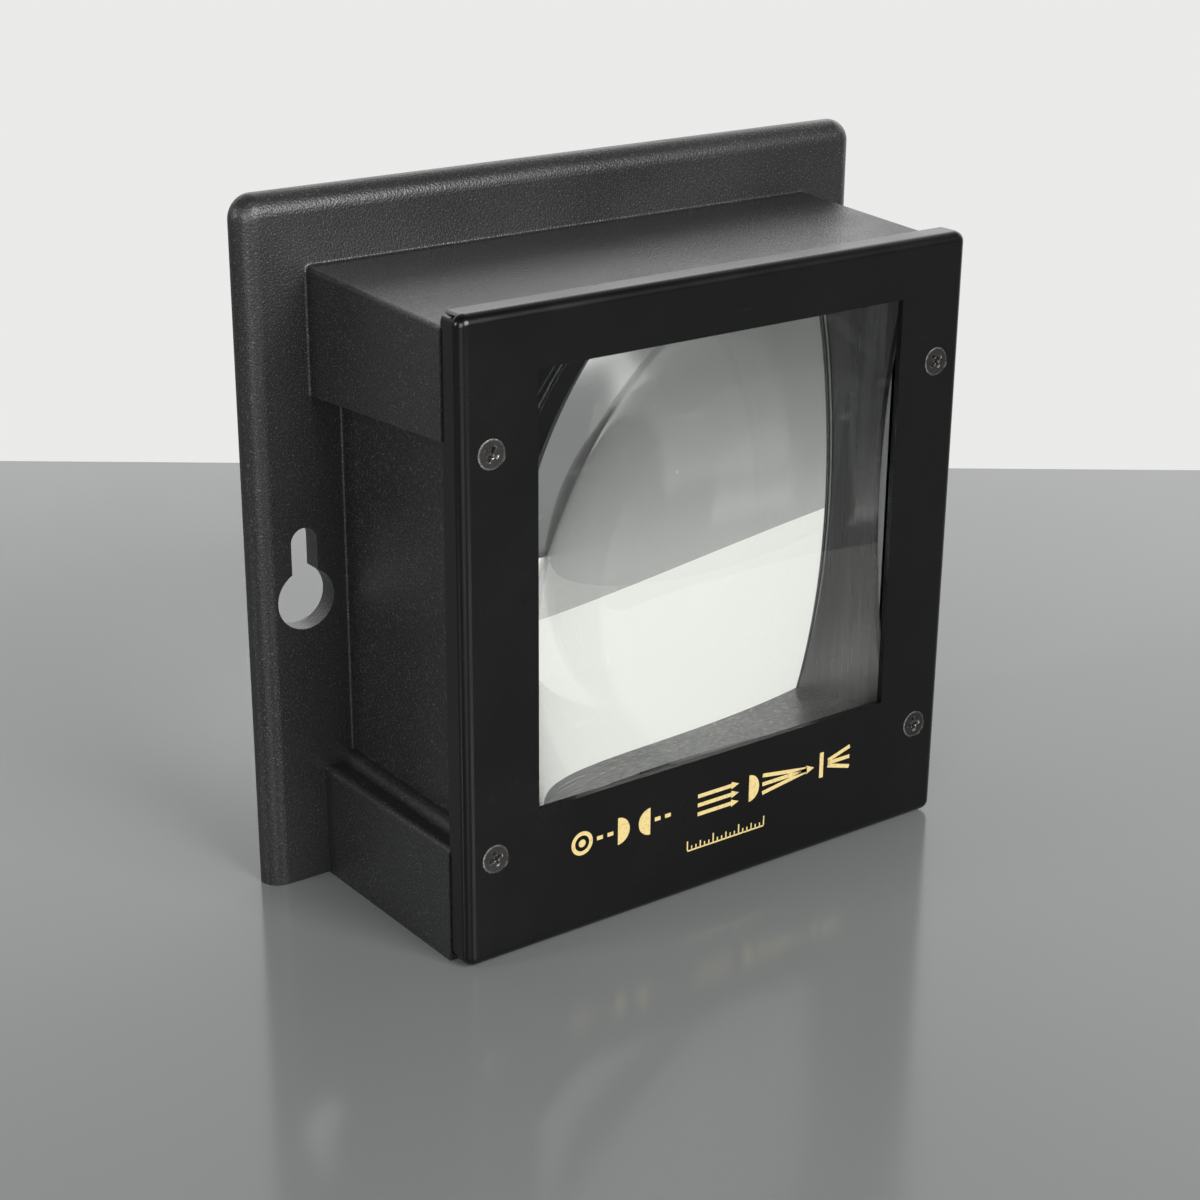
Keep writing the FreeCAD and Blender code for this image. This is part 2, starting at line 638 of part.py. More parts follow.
def make_screw(doc, name, place, sign, length):
    """Countersunk cross-recess screw; the head lies flush in the outer face."""
    across, up = place
    face = f"{sign} * box_depth / 2"
    turn = FreeCAD.Rotation(FreeCAD.Vector(1, 0, 0), 90 * sign)
    head = doc.addObject("Part::Cone", f"{name}Head")
    bind(head, Radius1="head_radius", Radius2="screw_radius", Height="head_radius - screw_radius")
    shank = doc.addObject("Part::Cylinder", f"{name}Shank")
    bind(shank, Radius="screw_radius", Height=length)
    for item in (head, shank):
        item.Placement.Rotation = turn
        bind(item, Placement__Base__x=across, Placement__Base__y=face, Placement__Base__z=up)
    screw = join(doc, "Fuse", f"{name}Blank", head, shank)
    for number, (width, height) in enumerate((("cross_length", "cross_width"),
                                              ("cross_width", "cross_length")), start=1):
        slot = doc.addObject("Part::Box", f"{name}Slot{number}")
        bind(slot, Length=width, Width="2 * cross_depth", Height=height,
             Placement__Base__x=f"{across} - {width} / 2",
             Placement__Base__y=f"{face} - cross_depth",
             Placement__Base__z=f"{up} - {height} / 2")
        screw = join(doc, "Cut", f"{name}Cut{number}", screw, slot)
    return screw


def make_insert(doc, name, place, sign, length):
    """Brass bush with a clear bore."""
    across, up = place
    inner_face = f"{sign} * ( box_depth / 2 - sheet_thick )"
    turn = FreeCAD.Rotation(FreeCAD.Vector(1, 0, 0), 90 * sign)
    rings = []
    for part, radius in (("Outer", "insert_radius"), ("Bore", "insert_bore")):
        ring = doc.addObject("Part::Cylinder", f"{name}{part}")
        ring.Placement.Rotation = turn
        bind(ring, Radius=radius, Height=length, Placement__Base__x=across,
             Placement__Base__y=inner_face, Placement__Base__z=up)
        rings.append(ring)
    return join(doc, "Cut", name, *rings)


def make_fasteners(doc, end, sign):
    """The four screws and the four inserts of one plate, as two groups."""
    groups = []
    for word, maker, length in (("Screw", make_screw, f"{end}_screw_length"),
                                ("Insert", make_insert, f"{end}_insert_length")):
        items = [maker(doc, f"{end.title()}{word}{number}", place, sign, length)
                 for number, place in enumerate(screw_places(end), start=1)]
        group = doc.addObject("Part::Compound", f"{end.title()}{word}s")
        group.Links = items
        group.Label = {"Screw": f"{end}_plate_screws", "Insert": f"{end}_screw_inserts"}[word]
        groups.append(group)
    return groups


def check(doc, nodes):
    """Stop if any object failed or any sub-part is empty or invalid."""
    for item in doc.Objects:
        if "Invalid" in item.State or "Error" in item.State:
            raise RuntimeError(f"{item.Name} failed: {item.State}")
    for node in nodes:
        shape = node.Shape
        if shape.isNull() or not shape.isValid() or not shape.Solids:
            raise RuntimeError(f"{node.Label} has no valid shape")


def main():
    """Build every sub-part and write one STEP file for each."""
    doc = FreeCAD.newDocument("CondenserBox")
    make_sheet(doc)
    front_felt = "gasket_thick + sheet_thick - box_depth / 2"
    nodes = [
        make_housing(doc),
        make_front_plate(doc),
        make_rear_plate(doc),
        make_lens(doc, "FrontLens", "front_lens", -1),
        make_lens(doc, "RearLens", "rear_lens", 1),
        make_spacer(doc),
        make_gasket(doc, "FrontGasket", "front_lens_gasket", front_felt),
        make_gasket(doc, "RearGasket", "rear_lens_gasket", "box_depth / 2 - sheet_thick"),
        make_strips(doc, "FrontStrips", "front_lens_strips", -1),
        make_strips(doc, "RearStrips", "rear_lens_strips", 1),
        make_spring(doc, "FrontSpring", "front_lens_spring", -1),
        make_spring(doc, "RearSpring", "rear_lens_spring", 1),
        *make_fasteners(doc, "front", -1),
        *make_fasteners(doc, "rear", 1),
    ]
    doc.recompute()
    check(doc, nodes)
    os.makedirs("parts", exist_ok=True)
    for node in nodes:
        node.Shape.exportStep(os.path.join("parts", f"{node.Label}.step"))
        box = node.Shape.BoundBox
        print(f"{node.Label}: {len(node.Shape.Solids)} solid(s), {node.Shape.Volume:.0f} mm3, "
              f"x {box.XMin:.2f}..{box.XMax:.2f}, y {box.YMin:.2f}..{box.YMax:.2f}, "
              f"z {box.ZMin:.2f}..{box.ZMax:.2f}")


main()
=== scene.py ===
"""Looks of a condenser lens box: its finishes, glass, fasteners, printed marks and the studio."""

import json
import logging
import math
from dataclasses import dataclass, field
from enum import Enum
from typing import Callable, Sequence

import bmesh
import bpy
from mathutils import Matrix, Vector

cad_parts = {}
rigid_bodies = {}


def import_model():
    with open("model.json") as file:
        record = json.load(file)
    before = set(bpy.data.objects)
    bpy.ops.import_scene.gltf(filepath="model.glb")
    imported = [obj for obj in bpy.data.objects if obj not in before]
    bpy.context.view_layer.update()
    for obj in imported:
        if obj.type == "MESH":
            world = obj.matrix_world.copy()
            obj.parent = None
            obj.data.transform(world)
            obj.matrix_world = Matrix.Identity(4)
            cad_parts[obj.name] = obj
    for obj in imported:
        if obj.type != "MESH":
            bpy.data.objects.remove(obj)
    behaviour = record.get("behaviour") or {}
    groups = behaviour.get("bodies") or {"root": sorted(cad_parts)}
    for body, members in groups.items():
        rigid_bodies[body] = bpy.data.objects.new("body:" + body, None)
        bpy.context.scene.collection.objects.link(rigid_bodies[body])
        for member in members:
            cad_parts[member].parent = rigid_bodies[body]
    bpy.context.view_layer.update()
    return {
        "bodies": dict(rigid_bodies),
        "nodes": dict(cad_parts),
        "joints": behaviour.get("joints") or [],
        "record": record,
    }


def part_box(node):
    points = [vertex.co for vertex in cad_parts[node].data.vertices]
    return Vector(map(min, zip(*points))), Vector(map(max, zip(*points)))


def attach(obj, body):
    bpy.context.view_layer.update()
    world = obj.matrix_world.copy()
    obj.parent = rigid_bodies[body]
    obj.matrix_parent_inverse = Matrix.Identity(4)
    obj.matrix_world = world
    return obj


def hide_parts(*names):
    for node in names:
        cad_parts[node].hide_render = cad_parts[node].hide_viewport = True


LOG = logging.getLogger("lens_box")
MM = 0.001
BODY = "root"

Point2 = tuple[float, float]
Triple = tuple[float, float, float]
Outline = list[Point2]
Socket = bpy.types.NodeSocket
Shape = bmesh.types.BMesh
Vert = bmesh.types.BMVert

RISING: Point2 = (0.0, 1.0)
FALLING: Point2 = (1.0, 0.0)
MIDDLE: Point2 = (0.3, 0.7)
EVEN: Triple = (1.0, 1.0, 1.0)


class Slot(Enum):
    """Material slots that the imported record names."""

    MOULDING = "moulded_black"
    SHEET = "painted_sheet"
    GLASS = "lens_glass"
    SPACER = "spacer_black"
    FELT = "black_felt"
    SPRING = "spring_steel"
    SCREW = "blackened_steel"
    INSERT = "insert_brass"


class Facing(Enum):
    """Which way an outer face of the box looks along Y."""

    FRONT = -1
    REAR = 1


@dataclass(frozen=True)
class Grain:
    """Cloudy pattern of a finish.

    The size is that of one cloud, the detail counts its finer layers, the shift sets it apart from
    other patterns, and the stretch scales it along each axis.
    """

    size_mm: float
    detail: float = 2.0
    shift: float = 0.0
    stretch: Triple = EVEN


class NodeBench:
    """Node tree with short ways to add and join its nodes."""

    def __init__(self, tree: bpy.types.NodeTree, output: str, place: str) -> None:
        """Empty the tree and give it an output and place coordinates.

        Args:
            tree: The tree.
            output: Blender's type name of its output.
            place: Name of the coordinates.
        """
        self.tree = tree
        self.tree.nodes.clear()
        self.output = self.add(output)
        self.place = self.add("ShaderNodeTexCoord").outputs[place]

    def add(self, kind: str, **settings: object) -> bpy.types.Node:
        """Add a node and set its properties.

        Args:
            kind: Blender's type name of the node.
            **settings: Properties of the node.

        Returns:
            The new node.
        """
        node = self.tree.nodes.new(kind)
        for key, value in settings.items():
            setattr(node, key, value)
        return node

    def join(self, source: Socket, target: Socket) -> None:
        """Link an output to an input."""
        self.tree.links.new(source, target)

    def levels(self, source: Socket, span: Point2, ends: Point2) -> Socket:
        """Map a range of a value to another, held at both ends.

        Args:
            source: The value.
            span: Inputs where the change begins and ends.
            ends: Outputs there.

        Returns:
            The mapped value.
        """
        node = self.add("ShaderNodeMapRange")
        for key, value in zip(("From Min", "From Max", "To Min", "To Max"), (*span, *ends)):
            node.inputs[key].default_value = value
        self.join(source, node.inputs["Value"])
        return node.outputs["Result"]

    def blend_values(self, way: str, first: Socket, second: Socket) -> Socket:
        """Combine two values with one of Blender's math operations.

        Args:
            way: Name of the operation.
            first: First value.
            second: Second value.

        Returns:
            The result.
        """
        node = self.add("ShaderNodeMath", operation=way)
        self.join(first, node.inputs[0])
        self.join(second, node.inputs[1])
        return node.outputs[0]

    def choose(self, share: Socket, first: bpy.types.Node, second: bpy.types.Node) -> None:
        """Send a blend of two shaders to the output.

        Args:
            share: 0 for the first shader and 1 for the second.
            first: First shader.
            second: Second shader.
        """
        mix = self.add("ShaderNodeMixShader")
        self.join(share, mix.inputs[0])
        self.join(first.outputs[0], mix.inputs[1])
        self.join(second.outputs[0], mix.inputs[2])
        self.join(mix.outputs[0], self.output.inputs["Surface"])


class Bench(NodeBench):
    """Node tree of one material, with its patterns, colours and bumps."""

    drift: Triple = (1.0, 1.7, 0.6)

    def __init__(self, name: str) -> None:
        """Start an empty material.

        Args:
            name: Name of the new material.
        """
        self.material = bpy.data.materials.new(name)
        self.material.use_nodes = True
        super().__init__(self.material.node_tree, "ShaderNodeOutputMaterial", "Object")

    def spread(self, size_mm: float, stretch: Triple = EVEN, shift: float = 0.0) -> Socket:
        """Scale the place coordinates so that one unit is one grain.

        Args:
            size_mm: Size of one grain in millimetres.
            stretch: Scale along each axis, over the even one.
            shift: Offset that sets one pattern apart from another.

        Returns:
            The scaled coordinates.
        """
        mapping = self.add("ShaderNodeMapping")
        mapping.inputs["Scale"].default_value = [part / (size_mm * MM) for part in stretch]
        mapping.inputs["Location"].default_value = [shift * share for share in self.drift]
        self.join(self.place, mapping.inputs["Vector"])
        return mapping.outputs["Vector"]

    def grain(self, cloud: Grain) -> Socket:
        """Add a cloudy pattern.

        Args:
            cloud: Its size, layers, offset and stretch.

        Returns:
            Its value from 0 to 1.
        """
        noise = self.add("ShaderNodeTexNoise")
        noise.inputs["Scale"].default_value = 1.0
        noise.inputs["Detail"].default_value = cloud.detail
        self.join(self.spread(cloud.size_mm, cloud.stretch, cloud.shift), noise.inputs["Vector"])
        return noise.outputs[0]

    def pebbles(self, size_mm: float, softness: float) -> Socket:
        """Add the rounded cells of an eroded mould.

        Args:
            size_mm: Size of one pebble in millimetres.
            softness: How far neighbouring pebbles melt together, from 0 to 1.

        Returns:
            Distance from the middle of the nearest pebble.
        """
        cells = self.add("ShaderNodeTexVoronoi", feature="SMOOTH_F1")
        cells.inputs["Scale"].default_value = 1.0
        cells.inputs["Smoothness"].default_value = softness
        self.join(self.spread(size_mm), cells.inputs["Vector"])
        return cells.outputs["Distance"]

    def tint(self, share: Socket, ground: Triple | Socket, over: Triple) -> Socket:
        """Add a colour that goes from ground to over with a value.

        Args:
            share: The value, 0 for ground and 1 for over.
            ground: Colour at 0, or a socket with one.
            over: Colour at 1.

        Returns:
            The mixed colour.
        """
        node = self.add("ShaderNodeMix", data_type="RGBA")
        self.join(share, node.inputs["Factor"])
        if isinstance(ground, Socket):
            self.join(ground, node.inputs[6])
        else:
            node.inputs[6].default_value = (*ground, 1.0)
        node.inputs[7].default_value = (*over, 1.0)
        return node.outputs[2]

    def relief(self, height: Socket, depth_mm: float, under: Socket | None = None) -> Socket:
        """Add a bump of the surface.

        Args:
            height: Height pattern from 0 to 1.
            depth_mm: Depth that the pattern's full range stands for.
            under: Normal of a coarser bump below this one.

        Returns:
            The bumped normal.
        """
        node = self.add("ShaderNodeBump")
        node.inputs["Strength"].default_value = 1.0
        node.inputs["Distance"].default_value = depth_mm * MM
        self.join(height, node.inputs["Height"])
        if under is not None:
            self.join(under, node.inputs["Normal"])
        return node.outputs["Normal"]

    def surface(self, **inputs: object) -> bpy.types.Node:
        """Add the principled shader and join it to the output.

        Args:
            **inputs: Socket names with underscores for spaces, each a plain value or a socket.

        Returns:
            The shader node.
        """
        shader = self.add("ShaderNodeBsdfPrincipled")
        for key, value in inputs.items():
            target = shader.inputs[key.replace("_", " ")]
            if isinstance(value, Socket):
                self.join(value, target)
            else:
                target.default_value = value
        self.join(shader.outputs[0], self.output.inputs["Surface"])
        return shader


def grey(level: float) -> Triple:
    """Neutral colour of one level."""
    return level, level, level


# Finishes

@dataclass(frozen=True)
class Dust:
    """Specks of dust that settle on a finish.

    Each cell of the gap's size may hold one speck, and the share says how many of them do.
    """

    gap_mm: float
    radius_mm: float
    share: float
    shift: float = 0.0
    colour: Triple = (0.34, 0.34, 0.33)
    core: float = 0.6
    lot_edge: float = 0.95

    def specks(self, bench: Bench) -> Socket:
        """Find where the specks lie.

        Args:
            bench: Node tree of the finish.

        Returns:
            1 on a speck and 0 beside it.
        """
        cells = bench.add("ShaderNodeTexVoronoi")
        cells.inputs["Scale"].default_value = 1.0
        bench.join(bench.spread(self.gap_mm, EVEN, self.shift), cells.inputs["Vector"])
        reach = self.radius_mm / self.gap_mm
        dot = bench.levels(cells.outputs["Distance"], (reach * self.core, reach), FALLING)
        lot = bench.add("ShaderNodeSeparateColor")
        bench.join(cells.outputs["Color"], lot.inputs[0])
        chosen = bench.levels(lot.outputs[0], (self.share * self.lot_edge, self.share), FALLING)
        return bench.blend_values("MULTIPLY", dot, chosen)

    def settle(self, bench: Bench, ground: Socket) -> Socket:
        """Lay the dust over a colour.

        Args:
            bench: Node tree of the finish.
            ground: The colour below the dust.

        Returns:
            The dusty colour.
        """
        return bench.tint(self.specks(bench), ground, self.colour)


@dataclass(frozen=True)
class GrainedMoulding:
    """Black moulding with the fine pebble of an eroded mould."""

    name: str = "grained_moulding"
    dark: float = 0.0110
    light: float = 0.0160
    coolness: float = 1.03
    # Grey of the painted glints: the highest points of the fine grain are lightened in colour as painted
    # highlights of light sparkling off the pebble.
    painted_glint_grey: float = 0.092
    gloss: Point2 = (0.31, 0.42)
    index: float = 1.49
    gleam: float = 0.65
    clouds: Grain = Grain(14.0, detail=3.0)
    fine: Grain = Grain(0.34, shift=3.1)
    fine_depth_mm: float = 0.025
    painted_glint_span: Point2 = (0.58, 0.78)
    handled: Grain = Grain(26.0, detail=4.0, shift=7.7)
    handled_span: Point2 = (0.35, 0.65)
    waves: Grain = Grain(9.0, detail=1.0, shift=5.0)
    wave_depth_mm: float = 0.02
    pebble_mm: float = 0.40
    pebble_softness: float = 0.6
    pebble_depth_mm: float = 0.050
    dust: Dust = Dust(gap_mm=5.5, radius_mm=0.10, share=0.20)

    def make(self) -> bpy.types.Material:
        """Build the material with pebble, painted glints on the pebble peaks, handled patches and dust.

        Returns:
            The finished material.
        """
        bench = Bench(self.name)
        fine = bench.grain(self.fine)
        light = (self.light, self.light, self.light * self.coolness)
        ground = bench.tint(bench.grain(self.clouds), grey(self.dark), light)
        # Painted highlight: where the fine grain is highest, the colour is lifted towards the glint grey
        # to stand in for glints of light off the pebble.
        painted_glints = bench.levels(fine, self.painted_glint_span, RISING)
        colour = self.dust.settle(bench, bench.tint(painted_glints, ground, grey(self.painted_glint_grey)))
        gloss = bench.levels(bench.grain(self.handled), self.handled_span, self.gloss)
        pebbles = bench.pebbles(self.pebble_mm, self.pebble_softness)
        skin = bench.relief(bench.grain(self.waves), self.wave_depth_mm)
        skin = bench.relief(pebbles, -self.pebble_depth_mm, skin)
        skin = bench.relief(fine, self.fine_depth_mm, skin)
        bench.surface(Base_Color=colour, Roughness=gloss, Normal=skin, IOR=self.index,
                      Specular_IOR_Level=self.gleam)
        return bench.material


@dataclass(frozen=True)
class StovedPaint:
    """Black stoving enamel on sheet metal, with a faint orange peel."""

    name: str = "stoved_paint"
    dark: float = 0.0022
    light: float = 0.0042
    gloss: Point2 = (0.20, 0.29)
    index: float = 1.5
    gleam: float = 0.36
    clouds: Grain = Grain(18.0, detail=3.0, shift=2.2)
    hairs: Grain = Grain(1.4, detail=1.0, shift=9.3, stretch=(0.16, 1.0, 1.0))
    hair_span: Point2 = (0.74, 0.80)
    hair_share: Point2 = (0.0, 0.22)
    hair_grey: float = 0.03
    rubbed: Grain = Grain(22.0, detail=4.0, shift=1.3)
    rubbed_span: Point2 = (0.35, 0.65)
    peel: Grain = Grain(0.9, shift=6.1)
    peel_depth_mm: float = 0.004
    dust: Dust = Dust(gap_mm=6.5, radius_mm=0.075, share=0.20, shift=4.0, colour=(0.26, 0.26, 0.25))

    def make(self) -> bpy.types.Material:
        """Build the material with orange peel, hairlines, rubbed patches and dust.

        Returns:
            The finished material.
        """
        bench = Bench(self.name)
        ground = bench.tint(bench.grain(self.clouds), grey(self.dark), grey(self.light))
        hairs = bench.levels(bench.grain(self.hairs), self.hair_span, self.hair_share)
        colour = self.dust.settle(bench, bench.tint(hairs, ground, grey(self.hair_grey)))
        gloss = bench.levels(bench.grain(self.rubbed), self.rubbed_span, self.gloss)
        peel = bench.relief(bench.grain(self.peel), self.peel_depth_mm)
        bench.surface(Base_Color=colour, Roughness=gloss, Normal=peel, IOR=self.index,
                      Specular_IOR_Level=self.gleam)
        return bench.material


@dataclass(frozen=True)
class PolishedGlass:
    """Clear crown glass with a little dust and wiping marks on its surface."""

    name: str = "polished_glass"
    index: float = 1.515
    clear: Triple = (0.990, 0.995, 0.975)
    wiped: Triple = (0.965, 0.972, 0.952)
    shade: Triple = (0.88, 0.90, 0.89)
    wiping: Grain = Grain(16.0, detail=3.0, shift=1.0, stretch=(1.0, 1.0, 0.35))
    film_span: Point2 = (0.45, 0.80)
    film: Point2 = (0.0, 0.012)
    scratches: Grain = Grain(2.2, detail=0.0, shift=5.5, stretch=(0.05, 1.0, 1.0))
    scratch_span: Point2 = (0.775, 0.82)
    scratch_share: Point2 = (0.0, 0.05)
    passing: Point2 = (1.0, 0.45)
    dust: Dust = Dust(gap_mm=5.0, radius_mm=0.12, share=0.34, shift=2.0)

    def make(self) -> bpy.types.Material:
        """Build the glass; rays from lamps pass straight through to what is behind.

        Returns:
            The finished material.
        """
        bench = Bench(self.name)
        wiping = bench.grain(self.wiping)
        body = bench.tint(wiping, self.clear, self.wiped)
        scratches = bench.levels(bench.grain(self.scratches), self.scratch_span, self.scratch_share)
        soiled = bench.blend_values("MAXIMUM", self.dust.specks(bench), scratches)
        glass = bench.surface(Base_Color=body, IOR=self.index,
                              Roughness=bench.levels(wiping, self.film_span, self.film),
                              Transmission_Weight=bench.levels(soiled, RISING, self.passing))
        through = bench.add("ShaderNodeBsdfTransparent")
        through.inputs["Color"].default_value = (*self.shade, 1.0)
        lamp = bench.add("ShaderNodeLightPath").outputs["Is Shadow Ray"]
        bench.choose(lamp, glass, through)
        return bench.material


@dataclass(frozen=True)
class GroundGlass:
    """Edge of the glass as the grinding wheel left it."""

    name: str = "ground_glass"
    index: float = 1.515
    dark: Triple = (0.11, 0.115, 0.113)
    light: Triple = (0.19, 0.197, 0.194)
    frost: Point2 = (0.38, 0.60)
    passing: float = 0.2
    clouds: Grain = Grain(6.0, detail=3.0)
    wheel: Grain = Grain(0.5, shift=3.3, stretch=(1.0, 0.15, 1.0))
    wheel_depth_mm: float = 0.02

    def make(self) -> bpy.types.Material:
        """Build the frosted edge with fine wheel marks.

        Returns:
            The finished material.
        """
        bench = Bench(self.name)
        wheel = bench.grain(self.wheel)
        tone = bench.tint(bench.grain(self.clouds), self.dark, self.light)
        frost = bench.levels(wheel, MIDDLE, self.frost)
        bench.surface(Base_Color=tone, Roughness=frost, IOR=self.index,
                      Transmission_Weight=self.passing, Normal=bench.relief(wheel, self.wheel_depth_mm))
        return bench.material


@dataclass(frozen=True)
class Metal:
    """Bare or blackened metal; a wear attribute shows the bright metal below."""

    name: str
    ground: Triple
    bright: Triple
    gloss: Point2 = (0.28, 0.45)
    tarnish: Grain = Grain(1.6, detail=4.0, shift=2.7)
    tarnished: float = 0.55
    marks: Grain = Grain(0.25, shift=8.1)
    mark_depth_mm: float = 0.006
    chips: Grain = Grain(0.35, detail=3.0, shift=4.4)
    chip_span: Point2 = (0.38, 0.62)
    chip_share: Point2 = (0.2, 1.0)

    def make(self) -> bpy.types.Material:
        """Build the metal with tarnish, tool marks and wear.

        Returns:
            The finished material.
        """
        bench = Bench(self.name)
        marks = bench.grain(self.marks)
        dimmed = tuple(part * self.tarnished for part in self.ground)
        colour = bench.tint(bench.grain(self.tarnish), dimmed, self.ground)
        rubbed = bench.add("ShaderNodeAttribute", attribute_name="wear").outputs["Fac"]
        chips = bench.levels(bench.grain(self.chips), self.chip_span, self.chip_share)
        colour = bench.tint(bench.blend_values("MULTIPLY", rubbed, chips), colour, self.bright)
        gloss = bench.levels(marks, MIDDLE, self.gloss)
        bench.surface(Base_Color=colour, Metallic=1.0, Roughness=gloss,
                      Normal=bench.relief(marks, self.mark_depth_mm))
        return bench.material


@dataclass(frozen=True)
class Felt:
    """Black pressed felt."""

    name: str = "pressed_felt"
    dark: Triple = (0.006, 0.006, 0.007)
    light: Triple = (0.035, 0.035, 0.037)
    fibres: Grain = Grain(0.35, detail=5.0, shift=1.9, stretch=(1.0, 0.4, 1.0))
    fibre_depth_mm: float = 0.12
    lumps: Grain = Grain(4.0, shift=6.6)
    nap: Point2 = (0.85, 1.0)
    sheen: float = 0.25
    sheen_spread: float = 0.5
    gleam: float = 0.2

    def make(self) -> bpy.types.Material:
        """Build the felt with tangled fibres.

        Returns:
            The finished material.
        """
        bench = Bench(self.name)
        fibres = bench.grain(self.fibres)
        colour = bench.tint(fibres, self.dark, self.light)
        nap = bench.levels(bench.grain(self.lumps), MIDDLE, self.nap)
        bench.surface(Base_Color=colour, Roughness=nap, Sheen_Weight=self.sheen,
                      Sheen_Roughness=self.sheen_spread, Specular_IOR_Level=self.gleam,
                      Normal=bench.relief(fibres, self.fibre_depth_mm))
        return bench.material


@dataclass(frozen=True)
class SpacerMoulding:
    """Thin black frame with upright smears of blacking on a dusty ground."""

    name: str = "spacer_moulding"
    black: float = 0.004
    dusty: float = 0.027
    thinly_dusty: float = 0.45
    gloss: Point2 = (0.24, 0.46)
    index: float = 1.49
    draw: Grain = Grain(1.2, detail=3.0, shift=2.0, stretch=(1.0, 1.0, 0.10))
    draw_depth_mm: float = 0.008
    smears: Grain = Grain(6.5, detail=1.0, shift=5.0, stretch=(1.0, 1.0, 0.22))
    smear_span: Point2 = (0.44, 0.52)

    def make(self) -> bpy.types.Material:
        """Build the material with smears, draw marks and a dusty bloom.

        Returns:
            The finished material.
        """
        bench = Bench(self.name)
        draw = bench.grain(self.draw)
        ground = bench.tint(draw, grey(self.dusty * self.thinly_dusty), grey(self.dusty))
        smears = bench.levels(bench.grain(self.smears), self.smear_span, RISING)
        colour = bench.tint(smears, ground, grey(self.black))
        gloss = bench.levels(draw, MIDDLE, self.gloss)
        bench.surface(Base_Color=colour, Roughness=gloss, IOR=self.index,
                      Normal=bench.relief(draw, self.draw_depth_mm))
        return bench.material


@dataclass(frozen=True)
class GoldInk:
    """Gold ink printed on the enamel, thin in places."""

    name: str = "gold_ink"
    full: Triple = (0.70, 0.55, 0.235)
    thin: Triple = (0.50, 0.39, 0.17)
    gloss: Point2 = (0.32, 0.55)
    metal_share: float = 0.1
    mottle: Grain = Grain(0.5, detail=3.0, shift=1.1)
    mottle_span: Point2 = (0.30, 0.48)
    flakes: Grain = Grain(0.12, detail=1.0, shift=3.9)
    flake_depth_mm: float = 0.003

    def make(self) -> bpy.types.Material:
        """Build the ink with screen-print mottling and metal flakes.

        Returns:
            The finished material.
        """
        bench = Bench(self.name)
        mottle = bench.levels(bench.grain(self.mottle), self.mottle_span, RISING)
        flakes = bench.grain(self.flakes)
        gloss = bench.levels(flakes, MIDDLE, self.gloss)
        bench.surface(Base_Color=bench.tint(mottle, self.thin, self.full), Roughness=gloss,
                      Metallic=self.metal_share, Normal=bench.relief(flakes, self.flake_depth_mm))
        return bench.material


@dataclass(frozen=True)
class TableTop:
    """Plain pale satin table top."""

    name: str = "pale_table"
    grey: Triple = (0.165, 0.173, 0.170)
    pale: Triple = (0.180, 0.188, 0.185)
    gloss: Point2 = (0.12, 0.16)
    gleam: float = 0.25
    clouds: Grain = Grain(140.0)
    sheen: Grain = Grain(60.0, detail=3.0, shift=4.0)

    def make(self) -> bpy.types.Material:
        """Build the table top with the faintest unevenness.

        Returns:
            The finished material.
        """
        bench = Bench(self.name)
        colour = bench.tint(bench.grain(self.clouds), self.grey, self.pale)
        gloss = bench.levels(bench.grain(self.sheen), MIDDLE, self.gloss)
        bench.surface(Base_Color=colour, Roughness=gloss, Specular_IOR_Level=self.gleam)
        return bench.material


# Mesh helpers

def add_piece(name: str, shape: Shape, materials: Sequence[bpy.types.Material],
              sharp_degrees: float = 35.0) -> bpy.types.Object:
    """Turn a finished shape into a piece that rides on the box.

    Args:
        name: Name of the piece.
        shape: The shape; it is freed.
        materials: Materials in the order of the faces' indices.
        sharp_degrees: Edges that fold more than this stay crisp.

    Returns:
        The new object.
    """
    bmesh.ops.recalc_face_normals(shape, faces=shape.faces)
    for face in shape.faces:
        face.smooth = True
    mesh = bpy.data.meshes.new(name)
    shape.to_mesh(mesh)
    shape.free()
    mesh.set_sharp_from_angle(angle=math.radians(sharp_degrees))
    for material in materials:
        mesh.materials.append(material)
    piece = bpy.data.objects.new(name, mesh)
    bpy.context.scene.collection.objects.link(piece)
    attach(piece, BODY)
    LOG.info("%s: %d faces", name, len(mesh.polygons))
    return piece


def dress_node(frame: dict, node: str, material: bpy.types.Material) -> None:
    """Give a carried-over node its finish.

    Args:
        frame: The loaded frame.
        node: Name of the node.
        material: Its finish.
    """
    mesh = frame["nodes"][node].data
    mesh.materials.clear()
    mesh.materials.append(material)
    LOG.info("%s: finished in %s", node, material.name)


def cap(shape: Shape, ring: Sequence[Vert]) -> None:
    """Close a ring with one face."""
    shape.faces.new(ring)


def bridge(shape: Shape, first: Sequence[Vert], second: Sequence[Vert]) -> None:
    """Join two rings of equal length with faces.

    Args:
        shape: Shape that takes the faces.
        first: First ring.
        second: Second ring.
    """
    for step in range(len(first)):
        follow = (step + 1) % len(first)
        shape.faces.new((first[step], first[follow], second[follow], second[step]))


def lathe(shape: Shape, profile: Sequence[Point2], sides: int, place: Matrix,
          radius_at: Callable[[float, float, float], float]) -> list[list[Vert]]:
    """Turn a profile about its own axis.

    Args:
        shape: Shape that takes the faces.
        profile: Pairs of radius and distance along the axis.
        sides: Number of steps round.
        place: Turns the lathe's Z axis and origin into place.
        radius_at: Gives the radius from radius, distance and angle, for threads and knurls.

    Returns:
        The rings of vertices, in order.
    """
    rings = []
    for radius, along in profile:
        ring = []
        for step in range(sides):
            angle = math.tau * step / sides
            reach = radius_at(radius, along, angle)
            spot = Vector((reach * math.cos(angle), reach * math.sin(angle), along))
            ring.append(shape.verts.new(place @ spot))
        rings.append(ring)
    for first, second in zip(rings, rings[1:]):
        bridge(shape, first, second)
    return rings


def smooth_step(value: float) -> float:
    """Value held between 0 and 1 with soft ends."""
    value = min(max(value, 0.0), 1.0)
    return value * value * (3 - 2 * value)


